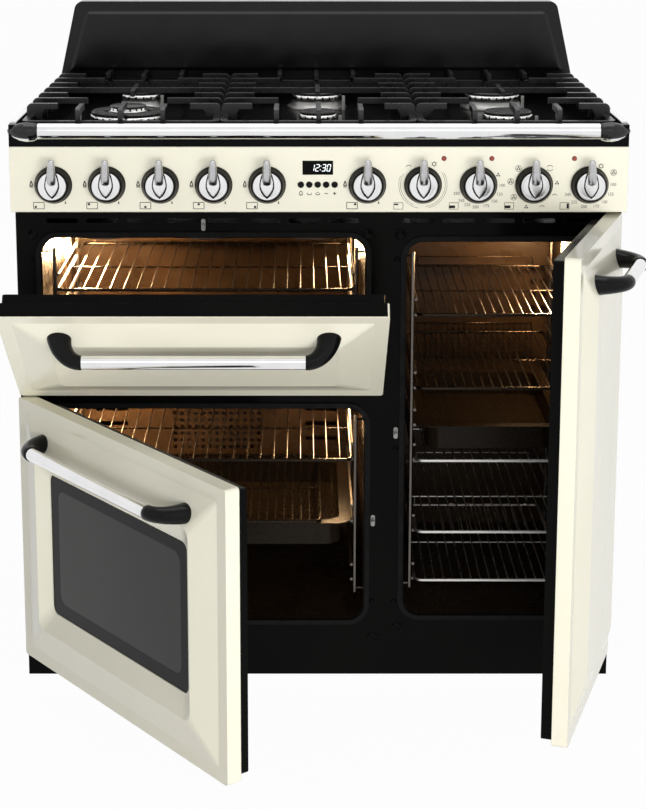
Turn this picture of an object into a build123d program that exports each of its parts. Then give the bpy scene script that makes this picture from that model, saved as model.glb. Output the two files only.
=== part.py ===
from build123d import *
import os
from math import cos, radians, sin, sqrt

# A free-standing 90 cm range cooker with three ovens and a six-burner gas hob.
# X runs to the right, Y to the back and Z up, in millimetres. The origin is on the floor under
# the middle of the body. The three doors stand open by the three REST angles below.

# Overall body
BODY_W = 900.0
SHEET = 1.5
FRAME_T = 2.0
RETURN_W = 15.5
DOOR_ZONE = 44.0
FIT = 0.05
CLEAR = 0.3

# The depth of the body comes from the pan supports and the hob rims round them
GRATE_D = 516.0
GRATE_END_GAP = 13.25
HOB_RIM_W = 10.0
HOB_BACK_RIM = 46.0
BODY_D = GRATE_D + 2 * GRATE_END_GAP + HOB_RIM_W + HOB_BACK_RIM + SHEET

# Heights, stacked from the floor up
FOOT_H = 28.0
PLINTH_H = 38.0
SILL_GAP = 9.0
MAIN_DOOR_H = 410.0
DOOR_ROW_GAP = 5.0
GRILL_DOOR_H = 275.0
PANEL_GAP = 4.0
PANEL_H = 97.0
SKIRT_SHOWN = 10.0
BAR_H = 24.0

Y_FRONT = -BODY_D / 2
Y_BACK = BODY_D / 2
Y_FRAME = Y_FRONT + DOOR_ZONE
Y_LINER = Y_FRAME + FRAME_T
PLINTH_TOP = FOOT_H + PLINTH_H
DOOR_Z0 = PLINTH_TOP + SILL_GAP
MAIN_DOOR_TOP = DOOR_Z0 + MAIN_DOOR_H
GRILL_DOOR_Z0 = MAIN_DOOR_TOP + DOOR_ROW_GAP
DOOR_TOP = GRILL_DOOR_Z0 + GRILL_DOOR_H
PANEL_Z0 = DOOR_TOP + PANEL_GAP
PANEL_TOP = PANEL_Z0 + PANEL_H
HOB_Z = PANEL_TOP + SKIRT_SHOWN + BAR_H

# Doors: U runs from the hinge edge to the free edge, V along the hinge, W outwards
DOOR_EDGE_GAP = 4.0
SPLIT_X = 98.0
SPLIT_GAP = 3.0
LINER_D = 16.0
SKIN_D = 22.0
SEAL_T = 3.6
SEAL_W = 7.0
SEAL_IN = 2.0
SKIN_T = 2.0
LIP_W = 14.0
LINER_INSET = 6.0
DOOR_R = 5.0
RIM_W = 20.0
SLOPE_W = 48.0
RAISE = 14.0
WINDOW_SIDE = 89.0
WINDOW_END = 97.0
WINDOW_R = 12.0
GLASS_T = 4.0
GLASS_LAP = 8.0
PIVOT_IN = 12.0
PIVOT_BACK = 10.0
REST_MAIN = 53.0
REST_TALL = 72.0
REST_GRILL = 51.0

# Hinges and catches
ARM_T = 4.0
ARM_W = 8.0
ARM_SLOT_GAP = 1.5
ARM_EYE_R = 6.0
PIN_R = 3.0
PIN_L = 24.0
HINGE_BLOCK_H = 32.0
HINGE_BLOCK_W = 18.0
HINGE_FOOT_T = 2.0
HINGE_END = 62.0
CATCH_R = 3.2
CATCH_PIN_R = 2.6
CATCH_L = 12.0
CATCH_FOOT = 9.0
CATCH_ROOM = 2.0

# Handles
GRIP_D = 19.0
GRIP_STAND_OFF = 31.0
GRIP_DROP = 52.0
BRACKET_INSET = 83.0
BRACKET_REACH = 33.0
BRACKET_STEM_A = 13.0
BRACKET_STEM_B = 13.5
BRACKET_END_R = 10.5
BRACKET_HEEL = 6.5
BRACKET_BEND = 20.0

# Oven cavities: how far the inside of each stands in from the body and from its door's edges
LEFT_JAMB = 38.0
LEFT_POST = 28.0
TALL_POST = 34.0
TALL_JAMB = 46.0
MAIN_SILL = 45.0
MAIN_HEAD = 27.0
GRILL_SILL = 36.0
GRILL_HEAD = 43.0
TALL_SILL = 53.0
TALL_HEAD = 49.0
BACK_SPACE = 142.0
CAVITY_R = 25.0
CAVITY_FLANGE = 12.0
CAVITY_LEFT_X0 = -BODY_W / 2 + LEFT_JAMB
CAVITY_LEFT_X1 = SPLIT_X - LEFT_POST
CAVITY_TALL_X0 = SPLIT_X + TALL_POST
CAVITY_TALL_X1 = BODY_W / 2 - TALL_JAMB
MAIN_CAVITY_Z0 = DOOR_Z0 + MAIN_SILL
MAIN_CAVITY_Z1 = MAIN_DOOR_TOP - MAIN_HEAD
GRILL_CAVITY_Z0 = GRILL_DOOR_Z0 + GRILL_SILL
GRILL_CAVITY_Z1 = DOOR_TOP - GRILL_HEAD
TALL_CAVITY_Z0 = DOOR_Z0 + TALL_SILL
TALL_CAVITY_Z1 = DOOR_TOP - TALL_HEAD
Y_CAVITY_BACK = Y_BACK - BACK_SPACE
Y_BACK_WALL = Y_CAVITY_BACK - SHEET
CAVITY_DEPTH = Y_CAVITY_BACK - Y_LINER
LEFT_CAVITY_W = CAVITY_LEFT_X1 - CAVITY_LEFT_X0
LEFT_MID = (CAVITY_LEFT_X0 + CAVITY_LEFT_X1) / 2
TALL_MID = (CAVITY_TALL_X0 + CAVITY_TALL_X1) / 2

# Cooling slots over the doors
SLOT_L = 48.0
SLOT_H = 7.0
SLOT_PITCH = 60.0
SLOT_DROP = 21.0
LEFT_SLOTS = 8
TALL_SLOTS = 5

# Control panel
KNOB_UP = 41.0
KNOB_Z = PANEL_Z0 + KNOB_UP
KNOB_LEFT_SIDE = 63.5
KNOB_RIGHT_SIDE = 55.6
KNOB_LEFT_OF_CLOCK = 73.8
KNOB_RIGHT_OF_CLOCK = 72.3
KNOB_ROW = 5
KNOB_GAP = 1.0
SKIRT_R = 27.5
SKIRT_EDGE = 3.0
SKIRT_H = 14.0
DISC_R = 20.5
DISC_H = 3.0
DISC_EDGE = 1.5
LEAF_L = 15.0
LEAF_HALF = 9.5
LEAF_WAIST = 7.6
LEAF_BACK = 12.8
LEAF_H = 4.0
LEVER_EDGE = 2.6
LEVER_H = 11.0
LEVER_TOP = 40.0
LEVER_TIP_R = 5.2
LEVER_ROOT_R = 7.2
SPINDLE_R = 4.0
SPINDLE_IN_KNOB = 13.5
SPINDLE_HOLE_R = 6.0
TAP_W = 30.0
TAP_H = 34.0
RAIL_W = 16.0
RAIL_BEND = 24.0
CLOCK_X = -1.5
CLOCK_UP = 66.0
CLOCK_Z = PANEL_Z0 + CLOCK_UP
CLOCK_MARGIN = 4.0
CLOCK_W = 44.5
CLOCK_H = 20.7
CLOCK_PROUD = 0.6
CLOCK_BODY_W = 74.0
CLOCK_BODY_D = 24.0
BUTTON_PITCH = 12.3
BUTTON_COUNT = 5
BUTTON_R = 4.4
BUTTON_PROUD = 3.0
BUTTON_TRAVEL = 1.5
BUTTON_FLANGE_R = 5.4
BUTTON_FLANGE_T = 1.5
BUTTON_EDGE = 0.9
LAMP_UP = 79.6
LAMP_Z = PANEL_Z0 + LAMP_UP
LAMP_R = 3.4
LAMP_PROUD = 1.5
LAMP_EDGE = 1.2
LAMP_FLANGE_R = 5.0
GRILL_LAMP_RIGHT = 30.2
MAIN_LAMP_RIGHT = 18.9
TALL_LAMP_LEFT = 22.9

# Hob
HOB_SHEET = 2.0
STRIP_T = 2.0
LEDGE_DROP = 10.0
LEDGE_W = 24.0
WELL_DROP = 18.0
WELL_R = 18.0
BAR_DEPTH = 12.0
CAP_L = 43.0
CAP_D = 14.0
CAP_OVER = 3.0
CAP_R = 13.0
CAP_EDGE = 9.0
HOB_RIM_Z = HOB_Z - STRIP_T
LEDGE_Z = HOB_RIM_Z - LEDGE_DROP
WELL_Z = LEDGE_Z - WELL_DROP

# Backsplash
SPLASH_H = 135.0
SPLASH_FOOT_IN = 8.0
SPLASH_TOP_IN = 38.0
SPLASH_D = 38.0
SPLASH_R = 15.0
SPLASH_PANEL_IN = 17.0
SPLASH_PANEL_H = 4.0
SPLASH_TAPER = 50.0

# Pan supports
GRATE_SIDE_GAP = 5.0
GRATE_COUNT = 3
GRATE_W = (BODY_W - 2 * HOB_RIM_W - 2 * GRATE_SIDE_GAP) / GRATE_COUNT
GRATE_GAP = 1.0
GRATE_RAIL_W = 10.0
GRATE_RAIL_H = 12.0
GRATE_H = 30.0
GRATE_R = 14.0
FINGER_T = 7.0
FINGER_H = 9.0
FINGER_ROOT = 22.0
FINGER_R = 8.0
SHORT_FINGER = 46.0
LONG_FINGER = 84.0
END_FINGER = 62.0
END_FINGER_PITCH = 62.0
CROSS_L = 96.0
FINGER_ROWS = 7

# Burners: radius of each crown, on three columns and two rows
DOUBLE_R = 58.0
LEFT_BACK_R = 32.0
SIMMER_R = 29.0
MIDDLE_BACK_R = 41.0
RIGHT_FRONT_R = 38.0
RIGHT_BACK_R = 45.0
BURNER_ROW_SHARE = 0.475
BURNER_SEAT_H = 4.0
BURNER_SEAT_OVER = 8.0
BURNER_CONE_H = 10.0
BURNER_CROWN_H = 9.0
BURNER_CAP_H = 5.0
BURNER_PORT_W = 3.0
BURNER_PORT_D = 4.0
RAPID_RING_W = 22.0
IGNITER_R = 2.5
IGNITER_H = BURNER_SEAT_H + BURNER_CONE_H + BURNER_CROWN_H
IGNITER_OUT = 12.0
IGNITER_TURN = -35.0

# Wire racks and their runners
WIRE_R = 3.0
THIN_R = 1.5
WIRE_SIDES = 6
THIN_SIDES = 4
CROSS_DROP = 2.0
RUNNER_R = 2.5
LADDER_OFF = 12.0
RUNNER_IN = 5.0
RAIL_SHIFT = 1.6
RUNNER_PAIR = 24.0
RACK_FRONT = 18.0
RACK_BACK = 44.0
RACK_D = CAVITY_DEPTH - RACK_FRONT - RACK_BACK
RACK_R = 14.0
LEFT_WIRES = 17
TALL_WIRES = 11
GRILL_RACK_UP = 112.0
MAIN_RACK_UP = 250.0
PAN_GRID_UP = 151.0
TALL_RACK_UP = 126.0
TALL_RACK_DOWN = 117.0
TALL_RACKS = 4
PLATE_RACK_UP = 47.0
TRAY_DROP = 62.0
GRILL_RACK_Z = GRILL_CAVITY_Z0 + GRILL_RACK_UP
MAIN_RACK_Z = MAIN_CAVITY_Z0 + MAIN_RACK_UP
PAN_GRID_Z = MAIN_CAVITY_Z0 + PAN_GRID_UP
TALL_RACK_Z0 = TALL_CAVITY_Z0 + TALL_RACK_UP
TALL_RACK_PITCH = (TALL_CAVITY_Z1 - TALL_RACK_DOWN - TALL_RACK_Z0) / (TALL_RACKS - 1)
PLATE_RACK_Z = TALL_CAVITY_Z0 + PLATE_RACK_UP
PAN_DEPTH = 38.0
PAN_SHORT = 20.0
PAN_D = RACK_D - PAN_SHORT
PAN_FLANGE = 16.0
PAN_R = 26.0
GRID_WIRES = 25
GRID_IN = 66.0
GRID_W = LEFT_CAVITY_W - 2 * GRID_IN

# Convection fan and grill element
FAN_UP = 29.0
FAN_Z = (MAIN_CAVITY_Z0 + MAIN_CAVITY_Z1) / 2 + FAN_UP
COVER_IN_X = 31.0
COVER_IN_Z = 54.0
COVER_W = LEFT_CAVITY_W - 2 * COVER_IN_X
COVER_H = MAIN_CAVITY_Z1 - MAIN_CAVITY_Z0 - 2 * COVER_IN_Z
COVER_D = 28.0
COVER_R = 20.0
PORT_R = 4.0
PORT_PITCH = 12.0
PORT_COLUMNS = 13
PORT_ROWS = 8
VENT_L = 60.0
VENT_H = 8.0
VENT_PITCH = 26.0
VENT_ROWS = 3
FAN_R = 72.0
FAN_HUB_R = 12.0
FAN_DEPTH = 16.0
FAN_BLADES = 8
FAN_SHAFT_R = 4.0
FAN_TAIL = 18.0
ELEMENT_R = 3.5
ELEMENT_SIDES = 6
ELEMENT_DROP = 22.0
ELEMENT_IN = 41.0
ELEMENT_SHORT = 112.0
ELEMENT_W = LEFT_CAVITY_W - 2 * ELEMENT_IN
ELEMENT_RUN = CAVITY_DEPTH - ELEMENT_SHORT
ELEMENT_BENDS = 3
ELEMENT_BEND_SHARE = 0.45

# Feet, back panel and gas connection
FOOT_PAD_R = 20.0
FOOT_PAD_H = 8.0
FOOT_STEM_R = 8.0
FOOT_IN_X = 70.0
FOOT_IN_Y = 90.0
FOOT_SPAN_X = BODY_W - 2 * FOOT_IN_X
FOOT_SPAN_Y = BODY_D - 2 * FOOT_IN_Y
FOOT_SHIFT_Y = 40.0
BASE_FLANGE = 22.0
BACK_VENTS = 9
BACK_VENT_L = 60.0
BACK_VENT_H = 6.0
BACK_VENT_SIDE = 114.0
BACK_VENT_PITCH = (BODY_W - 2 * BACK_VENT_SIDE) / (BACK_VENTS - 1)
BACK_ROW_PITCH = 30.0
INLET_R = 10.48
INLET_L = 20.0
INLET_HOLE_R = 22.0
INLET_IN = 25.0
INLET_X = BODY_W / 2 - INLET_IN
GLAND_HOLE_R = 11.0
GLAND_IN = 85.0
GLAND_X = -BODY_W / 2 + GLAND_IN
GLAND_Z = 160.0


def facing(y, x=0.0, z=0.0):
    """A plane across the cooker at depth y that faces the front: local x is X, local y is Z."""
    return Plane(origin=(x, y, z), x_dir=(1, 0, 0), z_dir=(0, -1, 0))


def save(piece, name):
    """Label a finished piece and write it to its own file."""
    piece.part.label = name
    export_step(piece.part, f"parts/{name}.step")


def frame_rect(x0, x1, z0, z1, radius, grow=0.0, mode=Mode.ADD):
    """A rounded rectangle between two corners, grown outwards on all sides."""
    with Locations(((x0 + x1) / 2, (z0 + z1) / 2)):
        RectangleRounded(x1 - x0 + 2 * grow, z1 - z0 + 2 * grow, radius + grow, mode=mode)


os.makedirs("parts", exist_ok=True)

# Feet: four levelling feet, a flat pad on a stem that meets the base plate
with BuildPart() as feet:
    with BuildSketch():
        with Locations((0, FOOT_SHIFT_Y)):
            with GridLocations(FOOT_SPAN_X, FOOT_SPAN_Y, 2, 2):
                Circle(FOOT_PAD_R)
    extrude(amount=FOOT_PAD_H)
    with BuildSketch(Plane.XY.offset(FOOT_PAD_H)):
        with Locations((0, FOOT_SHIFT_Y)):
            with GridLocations(FOOT_SPAN_X, FOOT_SPAN_Y, 2, 2):
                Circle(FOOT_STEM_R)
    extrude(amount=FOOT_H - FOOT_PAD_H)
save(feet, "feet")

# Side panels: folded sheet with a return at the front and at the back
SIDE_DEPTH = Y_BACK - SHEET - Y_LINER
SIDE_MID = (Y_BACK - SHEET + Y_LINER) / 2
with BuildPart() as side_panels:
    with BuildSketch(Plane.XY.offset(FOOT_H)):
        with Locations((BODY_W / 2 - SHEET / 2, SIDE_MID)):
            Rectangle(SHEET, SIDE_DEPTH)
        with Locations((BODY_W / 2 - RETURN_W / 2, Y_LINER + SHEET / 2)):
            Rectangle(RETURN_W, SHEET)
        with Locations((BODY_W / 2 - RETURN_W / 2, Y_BACK - 1.5 * SHEET)):
            Rectangle(RETURN_W, SHEET)
        mirror(about=Plane.YZ)
    extrude(amount=PANEL_TOP - FOOT_H)
save(side_panels, "side_panels")

# Base plate: a shallow tray between the side panels, flanged all round
BASE_W = BODY_W - 2 * SHEET
BASE_D = SIDE_DEPTH - 2 * SHEET
with BuildPart() as base_plate:
    with BuildSketch(Plane.XY.offset(FOOT_H)):
        with Locations((0, SIDE_MID)):
            Rectangle(BASE_W, BASE_D)
    extrude(amount=BASE_FLANGE)
    with BuildSketch(Plane.XY.offset(FOOT_H + SHEET)):
        with Locations((0, SIDE_MID)):
            Rectangle(BASE_W - 2 * SHEET, BASE_D - 2 * SHEET)
    extrude(amount=BASE_FLANGE, mode=Mode.SUBTRACT)
save(base_plate, "base_plate")

# Back panel: flat sheet with rows of cooling slots, a hole for the gas inlet and one for the cable
INLET_Z = KNOB_Z
with BuildPart() as back_panel:
    with BuildSketch(facing(Y_BACK)):
        frame_rect(-BODY_W / 2 + SHEET, BODY_W / 2 - SHEET, FOOT_H, PANEL_TOP, SHEET)
        with Locations((0, PANEL_Z0 - BACK_ROW_PITCH), (0, PANEL_Z0), (0, PLINTH_TOP + BACK_ROW_PITCH)):
            with GridLocations(BACK_VENT_PITCH, 0, BACK_VENTS, 1):
                Rectangle(BACK_VENT_L, BACK_VENT_H, mode=Mode.SUBTRACT)
        with Locations((INLET_X, INLET_Z)):
            Circle(INLET_HOLE_R, mode=Mode.SUBTRACT)
        with Locations((GLAND_X, GLAND_Z)):
            Circle(GLAND_HOLE_R, mode=Mode.SUBTRACT)
    extrude(amount=SHEET)
save(back_panel, "back_panel")

# Plinth: the strip under the doors
with BuildPart() as plinth:
    with BuildSketch(facing(Y_LINER)):
        with Locations((0, FOOT_H + PLINTH_H / 2)):
            Rectangle(BODY_W, PLINTH_H)
    extrude(amount=FRAME_T)
save(plinth, "plinth")

CAVITIES = {
    "grill": (CAVITY_LEFT_X0, CAVITY_LEFT_X1, GRILL_CAVITY_Z0, GRILL_CAVITY_Z1),
    "main": (CAVITY_LEFT_X0, CAVITY_LEFT_X1, MAIN_CAVITY_Z0, MAIN_CAVITY_Z1),
    "tall": (CAVITY_TALL_X0, CAVITY_TALL_X1, TALL_CAVITY_Z0, TALL_CAVITY_Z1),
}

# Front frame: one enamelled pressing with three oven openings, cooling slots above the doors
# and a long opening behind the control panel
with BuildPart() as front_frame:
    with BuildSketch(facing(Y_LINER)):
        with Locations((0, (PLINTH_TOP + PANEL_TOP) / 2)):
            Rectangle(BODY_W, PANEL_TOP - PLINTH_TOP)
        for x0, x1, z0, z1 in CAVITIES.values():
            frame_rect(x0, x1, z0, z1, CAVITY_R, mode=Mode.SUBTRACT)
        with Locations((LEFT_MID, PANEL_Z0 - SLOT_DROP)):
            with GridLocations(SLOT_PITCH, 0, LEFT_SLOTS, 1):
                SlotOverall(SLOT_L, SLOT_H, mode=Mode.SUBTRACT)
        with Locations((TALL_MID, PANEL_Z0 - SLOT_DROP)):
            with GridLocations(SLOT_PITCH, 0, TALL_SLOTS, 1):
                SlotOverall(SLOT_L, SLOT_H, mode=Mode.SUBTRACT)
        frame_rect(
            RETURN_W - BODY_W / 2,
            BODY_W / 2 - RETURN_W,
            PANEL_Z0 + RETURN_W,
            PANEL_TOP - RETURN_W,
            SLOT_H,
            mode=Mode.SUBTRACT,
        )
    extrude(amount=FRAME_T)
save(front_frame, "front_frame")


def oven_liner(x0, x1, z0, z1, has_fan):
    """A pressed and welded oven box, open at the front, with a flange behind the front frame."""
    with BuildPart() as liner:
        with BuildSketch(facing(Y_CAVITY_BACK)):
            frame_rect(x0, x1, z0, z1, CAVITY_R, SHEET)
        extrude(amount=CAVITY_DEPTH)
        with BuildSketch(facing(Y_LINER + SHEET)):
            frame_rect(x0, x1, z0, z1, CAVITY_R, CAVITY_FLANGE)
        extrude(amount=SHEET)
        with BuildSketch(facing(Y_BACK_WALL)):
            frame_rect(x0, x1, z0, z1, CAVITY_R)
        extrude(amount=CAVITY_DEPTH, mode=Mode.SUBTRACT)
        if has_fan:
            with BuildSketch(facing(Y_CAVITY_BACK, LEFT_MID, FAN_Z)):
                Circle(FAN_SHAFT_R + FIT)
            extrude(amount=SHEET, mode=Mode.SUBTRACT)
    return liner


for name, bounds in CAVITIES.items():
    save(oven_liner(*bounds, name == "main"), f"{name}_cavity")

# Door seals: a moulded ring on the front frame round each opening
with BuildPart() as door_seals:
    with BuildSketch(facing(Y_FRAME)):
        for x0, x1, z0, z1 in CAVITIES.values():
            frame_rect(x0, x1, z0, z1, CAVITY_R, SEAL_IN + SEAL_W)
            frame_rect(x0, x1, z0, z1, CAVITY_R, SEAL_IN, mode=Mode.SUBTRACT)
    extrude(amount=SEAL_T)
save(door_seals, "door_seals")


def knob_row(x0, x1):
    """The places of a row of knobs spread evenly between two ends."""
    return [x0 + (x1 - x0) * i / (KNOB_ROW - 1) for i in range(KNOB_ROW)]


KNOB_XS = knob_row(KNOB_LEFT_SIDE - BODY_W / 2, CLOCK_X - KNOB_LEFT_OF_CLOCK)
KNOB_XS += knob_row(CLOCK_X + KNOB_RIGHT_OF_CLOCK, BODY_W / 2 - KNOB_RIGHT_SIDE)
LAMP_XS = (KNOB_XS[6] + GRILL_LAMP_RIGHT, KNOB_XS[7] + MAIN_LAMP_RIGHT, KNOB_XS[9] - TALL_LAMP_LEFT)
# Control panel: a folded box front, open at the back, pierced for the controls
BUTTON_XS = [CLOCK_X + (i - (BUTTON_COUNT - 1) / 2) * BUTTON_PITCH for i in range(BUTTON_COUNT)]
PANEL_MID = (PANEL_Z0 + PANEL_TOP) / 2
with BuildPart() as control_panel:
    with BuildSketch(facing(Y_FRAME)):
        with Locations((0, PANEL_MID)):
            Rectangle(BODY_W, PANEL_H)
    extrude(amount=DOOR_ZONE)
    front_edges = control_panel.faces().sort_by(Axis.Y)[0].edges().filter_by(Axis.X)
    fillet(front_edges, radius=FRAME_T)
    with BuildSketch(facing(Y_FRAME)):
        with Locations((0, PANEL_MID)):
            Rectangle(BODY_W - 2 * SHEET, PANEL_H - 2 * SHEET)
    extrude(amount=DOOR_ZONE - SHEET, mode=Mode.SUBTRACT)
    with BuildSketch(facing(Y_FRONT + SHEET)):
        with Locations(*[(x, KNOB_Z) for x in KNOB_XS]):
            Circle(SPINDLE_HOLE_R)
        with Locations((CLOCK_X, CLOCK_Z)):
            Rectangle(CLOCK_W, CLOCK_H)
        with Locations(*[(x, KNOB_Z) for x in BUTTON_XS]):
            Circle(BUTTON_R + CLEAR)
        with Locations(*[(x, LAMP_Z) for x in LAMP_XS]):
            Circle(LAMP_R + CLEAR)
    extrude(amount=SHEET, mode=Mode.SUBTRACT)
save(control_panel, "control_panel")

# Taps and switches behind the panel, each with the spindle that its knob sits on
Y_TAP_BACK = Y_FRAME + RAIL_W / 2
Y_PANEL_IN = Y_FRONT + SHEET
with BuildPart() as control_spindles:
    with BuildSketch(facing(Y_TAP_BACK)):
        with Locations(*[(x, KNOB_Z) for x in KNOB_XS]):
            Rectangle(TAP_W, TAP_H)
    extrude(amount=Y_TAP_BACK - Y_PANEL_IN)
    with BuildSketch(facing(Y_PANEL_IN)):
        with Locations(*[(x, KNOB_Z) for x in KNOB_XS]):
            Circle(SPINDLE_R)
    extrude(amount=SHEET + KNOB_GAP + SPINDLE_IN_KNOB)
save(control_spindles, "control_spindles")


def knob(x):
    """A knob in one casting: flared skirt, domed disc, pointed leaf and a lever standing up from it."""
    back = facing(Y_FRONT - KNOB_GAP, x, KNOB_Z)
    face = SKIRT_EDGE + SKIRT_H
    crown = face + DISC_H
    with BuildPart(back) as piece:
        with BuildSketch(back):
            Circle(SKIRT_R)
        extrude(amount=SKIRT_EDGE)
        with BuildSketch(back.offset(SKIRT_EDGE)):
            Circle(SKIRT_R)
        with BuildSketch(back.offset(face)):
            Circle(DISC_R)
        loft()
        with BuildSketch(back.offset(face)):
            Circle(DISC_R)
        extrude(amount=DISC_H)
        rim = piece.faces().sort_by(Axis.Y)[0].edges().filter_by(GeomType.CIRCLE)
        chamfer(rim, length=DISC_EDGE)
        with BuildSketch(back.offset(crown)):
            with BuildLine():
                ThreePointArc((0, -LEAF_L), (LEAF_WAIST, -LEAF_L / 2), (LEAF_HALF, 0))
                Line((LEAF_HALF, 0), (LEVER_ROOT_R, LEAF_BACK))
                Line((LEVER_ROOT_R, LEAF_BACK), (-LEVER_ROOT_R, LEAF_BACK))
                Line((-LEVER_ROOT_R, LEAF_BACK), (-LEAF_HALF, 0))
                ThreePointArc((-LEAF_HALF, 0), (-LEAF_WAIST, -LEAF_L / 2), (0, -LEAF_L))
            make_face()
        extrude(amount=LEAF_H)
        with BuildSketch(back.offset(crown)):
            with BuildLine():
                Line((-LEVER_ROOT_R, 0), (-LEVER_TIP_R, LEVER_TOP - LEVER_TIP_R))
                ThreePointArc(
                    (-LEVER_TIP_R, LEVER_TOP - LEVER_TIP_R),
                    (0, LEVER_TOP),
                    (LEVER_TIP_R, LEVER_TOP - LEVER_TIP_R),
                )
                Line((LEVER_TIP_R, LEVER_TOP - LEVER_TIP_R), (LEVER_ROOT_R, 0))
                ThreePointArc((LEVER_ROOT_R, 0), (0, -LEVER_ROOT_R), (-LEVER_ROOT_R, 0))
            make_face()
        extrude(amount=LEVER_H)
        lever_face = piece.faces().sort_by(Axis.Y)[0]
        chamfer(lever_face.edges(), length=LEVER_EDGE)
        with BuildSketch(back):
            Circle(SPINDLE_R + FIT)
        extrude(amount=SPINDLE_IN_KNOB + CLEAR, mode=Mode.SUBTRACT)
    return piece


for number, x in enumerate(KNOB_XS, start=1):
    save(knob(x), f"knob_{number}")

# Clock: a black module behind the panel with its window in the cut-out and pockets for the buttons
Y_BUTTON_BACK = Y_PANEL_IN + CLEAR + BUTTON_FLANGE_T
BUTTON_POCKET = CLEAR + BUTTON_FLANGE_T + BUTTON_TRAVEL + CLEAR
CLOCK_TOP = CLOCK_Z + CLOCK_H / 2 + CLOCK_MARGIN
CLOCK_BOTTOM = KNOB_Z - 2 * CLOCK_MARGIN
with BuildPart() as clock_module:
    with BuildSketch(facing(Y_PANEL_IN + CLOCK_BODY_D)):
        with Locations((CLOCK_X, (CLOCK_TOP + CLOCK_BOTTOM) / 2)):
            Rectangle(CLOCK_BODY_W, CLOCK_TOP - CLOCK_BOTTOM)
    extrude(amount=CLOCK_BODY_D)
    with BuildSketch(facing(Y_PANEL_IN)):
        with Locations((CLOCK_X, CLOCK_Z)):
            RectangleRounded(CLOCK_W - CLEAR, CLOCK_H - CLEAR, FRAME_T)
    extrude(amount=SHEET + CLOCK_PROUD)
    with BuildSketch(facing(Y_PANEL_IN + BUTTON_POCKET)):
        with Locations(*[(x, KNOB_Z) for x in BUTTON_XS]):
            Circle(BUTTON_FLANGE_R + CLEAR)
    extrude(amount=BUTTON_POCKET, mode=Mode.SUBTRACT)
save(clock_module, "clock_module")


def clock_button(x):
    """A round push button with a flange that keeps it behind the panel."""
    back = facing(Y_BUTTON_BACK, x, KNOB_Z)
    with BuildPart() as piece:
        with BuildSketch(back):
            Circle(BUTTON_FLANGE_R)
        extrude(amount=BUTTON_FLANGE_T)
        with BuildSketch(back.offset(BUTTON_FLANGE_T)):
            Circle(BUTTON_R)
        extrude(amount=CLEAR + SHEET + BUTTON_PROUD)
        chamfer(piece.faces().sort_by(Axis.Y)[0].edges(), length=BUTTON_EDGE)
    return piece


for number, x in enumerate(BUTTON_XS, start=1):
    save(clock_button(x), f"clock_button_{number}")

# Indicator lamps: three domed lenses, flanged behind the panel
with BuildPart() as indicator_lamps:
    with BuildSketch(facing(Y_PANEL_IN + FRAME_T)):
        with Locations(*[(x, LAMP_Z) for x in LAMP_XS]):
            Circle(LAMP_FLANGE_R)
    extrude(amount=FRAME_T)
    with BuildSketch(facing(Y_PANEL_IN)):
        with Locations(*[(x, LAMP_Z) for x in LAMP_XS]):
            Circle(LAMP_R)
    extrude(amount=SHEET + LAMP_PROUD)
    chamfer(indicator_lamps.faces().group_by(Axis.Y)[0].edges(), length=LAMP_EDGE)
save(indicator_lamps, "indicator_lamps")

# Gas supply: a square rail behind the taps, turned back along the right side to the inlet stub
Y_RAIL = Y_TAP_BACK + RAIL_W / 2
with BuildPart() as gas_supply_pipe:
    with BuildLine() as rail_path:
        FilletPolyline(
            (KNOB_XS[0] - TAP_W / 2, Y_RAIL, KNOB_Z),
            (INLET_X, Y_RAIL, KNOB_Z),
            (INLET_X, Y_BACK - SHEET, KNOB_Z),
            radius=RAIL_BEND,
        )
    with BuildSketch(Plane(rail_path.line @ 0, x_dir=(0, 1, 0), z_dir=rail_path.line % 0)):
        Rectangle(RAIL_W, RAIL_W)
    sweep()
    with BuildSketch(Plane(origin=(INLET_X, Y_BACK - SHEET, INLET_Z), z_dir=(0, 1, 0))):
        Circle(INLET_R)
    extrude(amount=SHEET + INLET_L)
save(gas_supply_pipe, "gas_supply_pipe")

# Hob plate: a deep pressing with a raised rim, a ledge for the pan supports and a sunk well
HOB_BACK_Y = Y_BACK - SHEET
LEDGE_X = BODY_W / 2 - HOB_RIM_W
LEDGE_Y0 = Y_FRONT + HOB_RIM_W
LEDGE_Y1 = HOB_BACK_Y - HOB_BACK_RIM
LEDGE_MID = (LEDGE_Y0 + LEDGE_Y1) / 2
LEDGE_LEN = LEDGE_Y1 - LEDGE_Y0
HOB_MID = (Y_FRONT + HOB_BACK_Y) / 2
HOB_LEN = HOB_BACK_Y - Y_FRONT
with BuildPart() as hob_hollow:
    with BuildSketch(Plane.XY.offset(PANEL_TOP)):
        with Locations((0, HOB_MID)):
            Rectangle(BODY_W - 2 * HOB_SHEET, HOB_LEN - 2 * HOB_SHEET)
    extrude(amount=HOB_RIM_Z - HOB_SHEET - PANEL_TOP)
    with BuildSketch(Plane.XY.offset(LEDGE_Z - HOB_SHEET)):
        with Locations((0, LEDGE_MID)):
            Rectangle(2 * LEDGE_X + 2 * HOB_SHEET, LEDGE_LEN + 2 * HOB_SHEET)
    extrude(amount=LEDGE_DROP + HOB_SHEET, mode=Mode.SUBTRACT)
    with BuildSketch(Plane.XY.offset(WELL_Z - HOB_SHEET)):
        with Locations((0, LEDGE_MID)):
            RectangleRounded(
                2 * (LEDGE_X - LEDGE_W + HOB_SHEET),
                LEDGE_LEN - 2 * (LEDGE_W - HOB_SHEET),
                WELL_R + HOB_SHEET,
            )
    extrude(amount=WELL_DROP + HOB_SHEET, mode=Mode.SUBTRACT)

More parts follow.
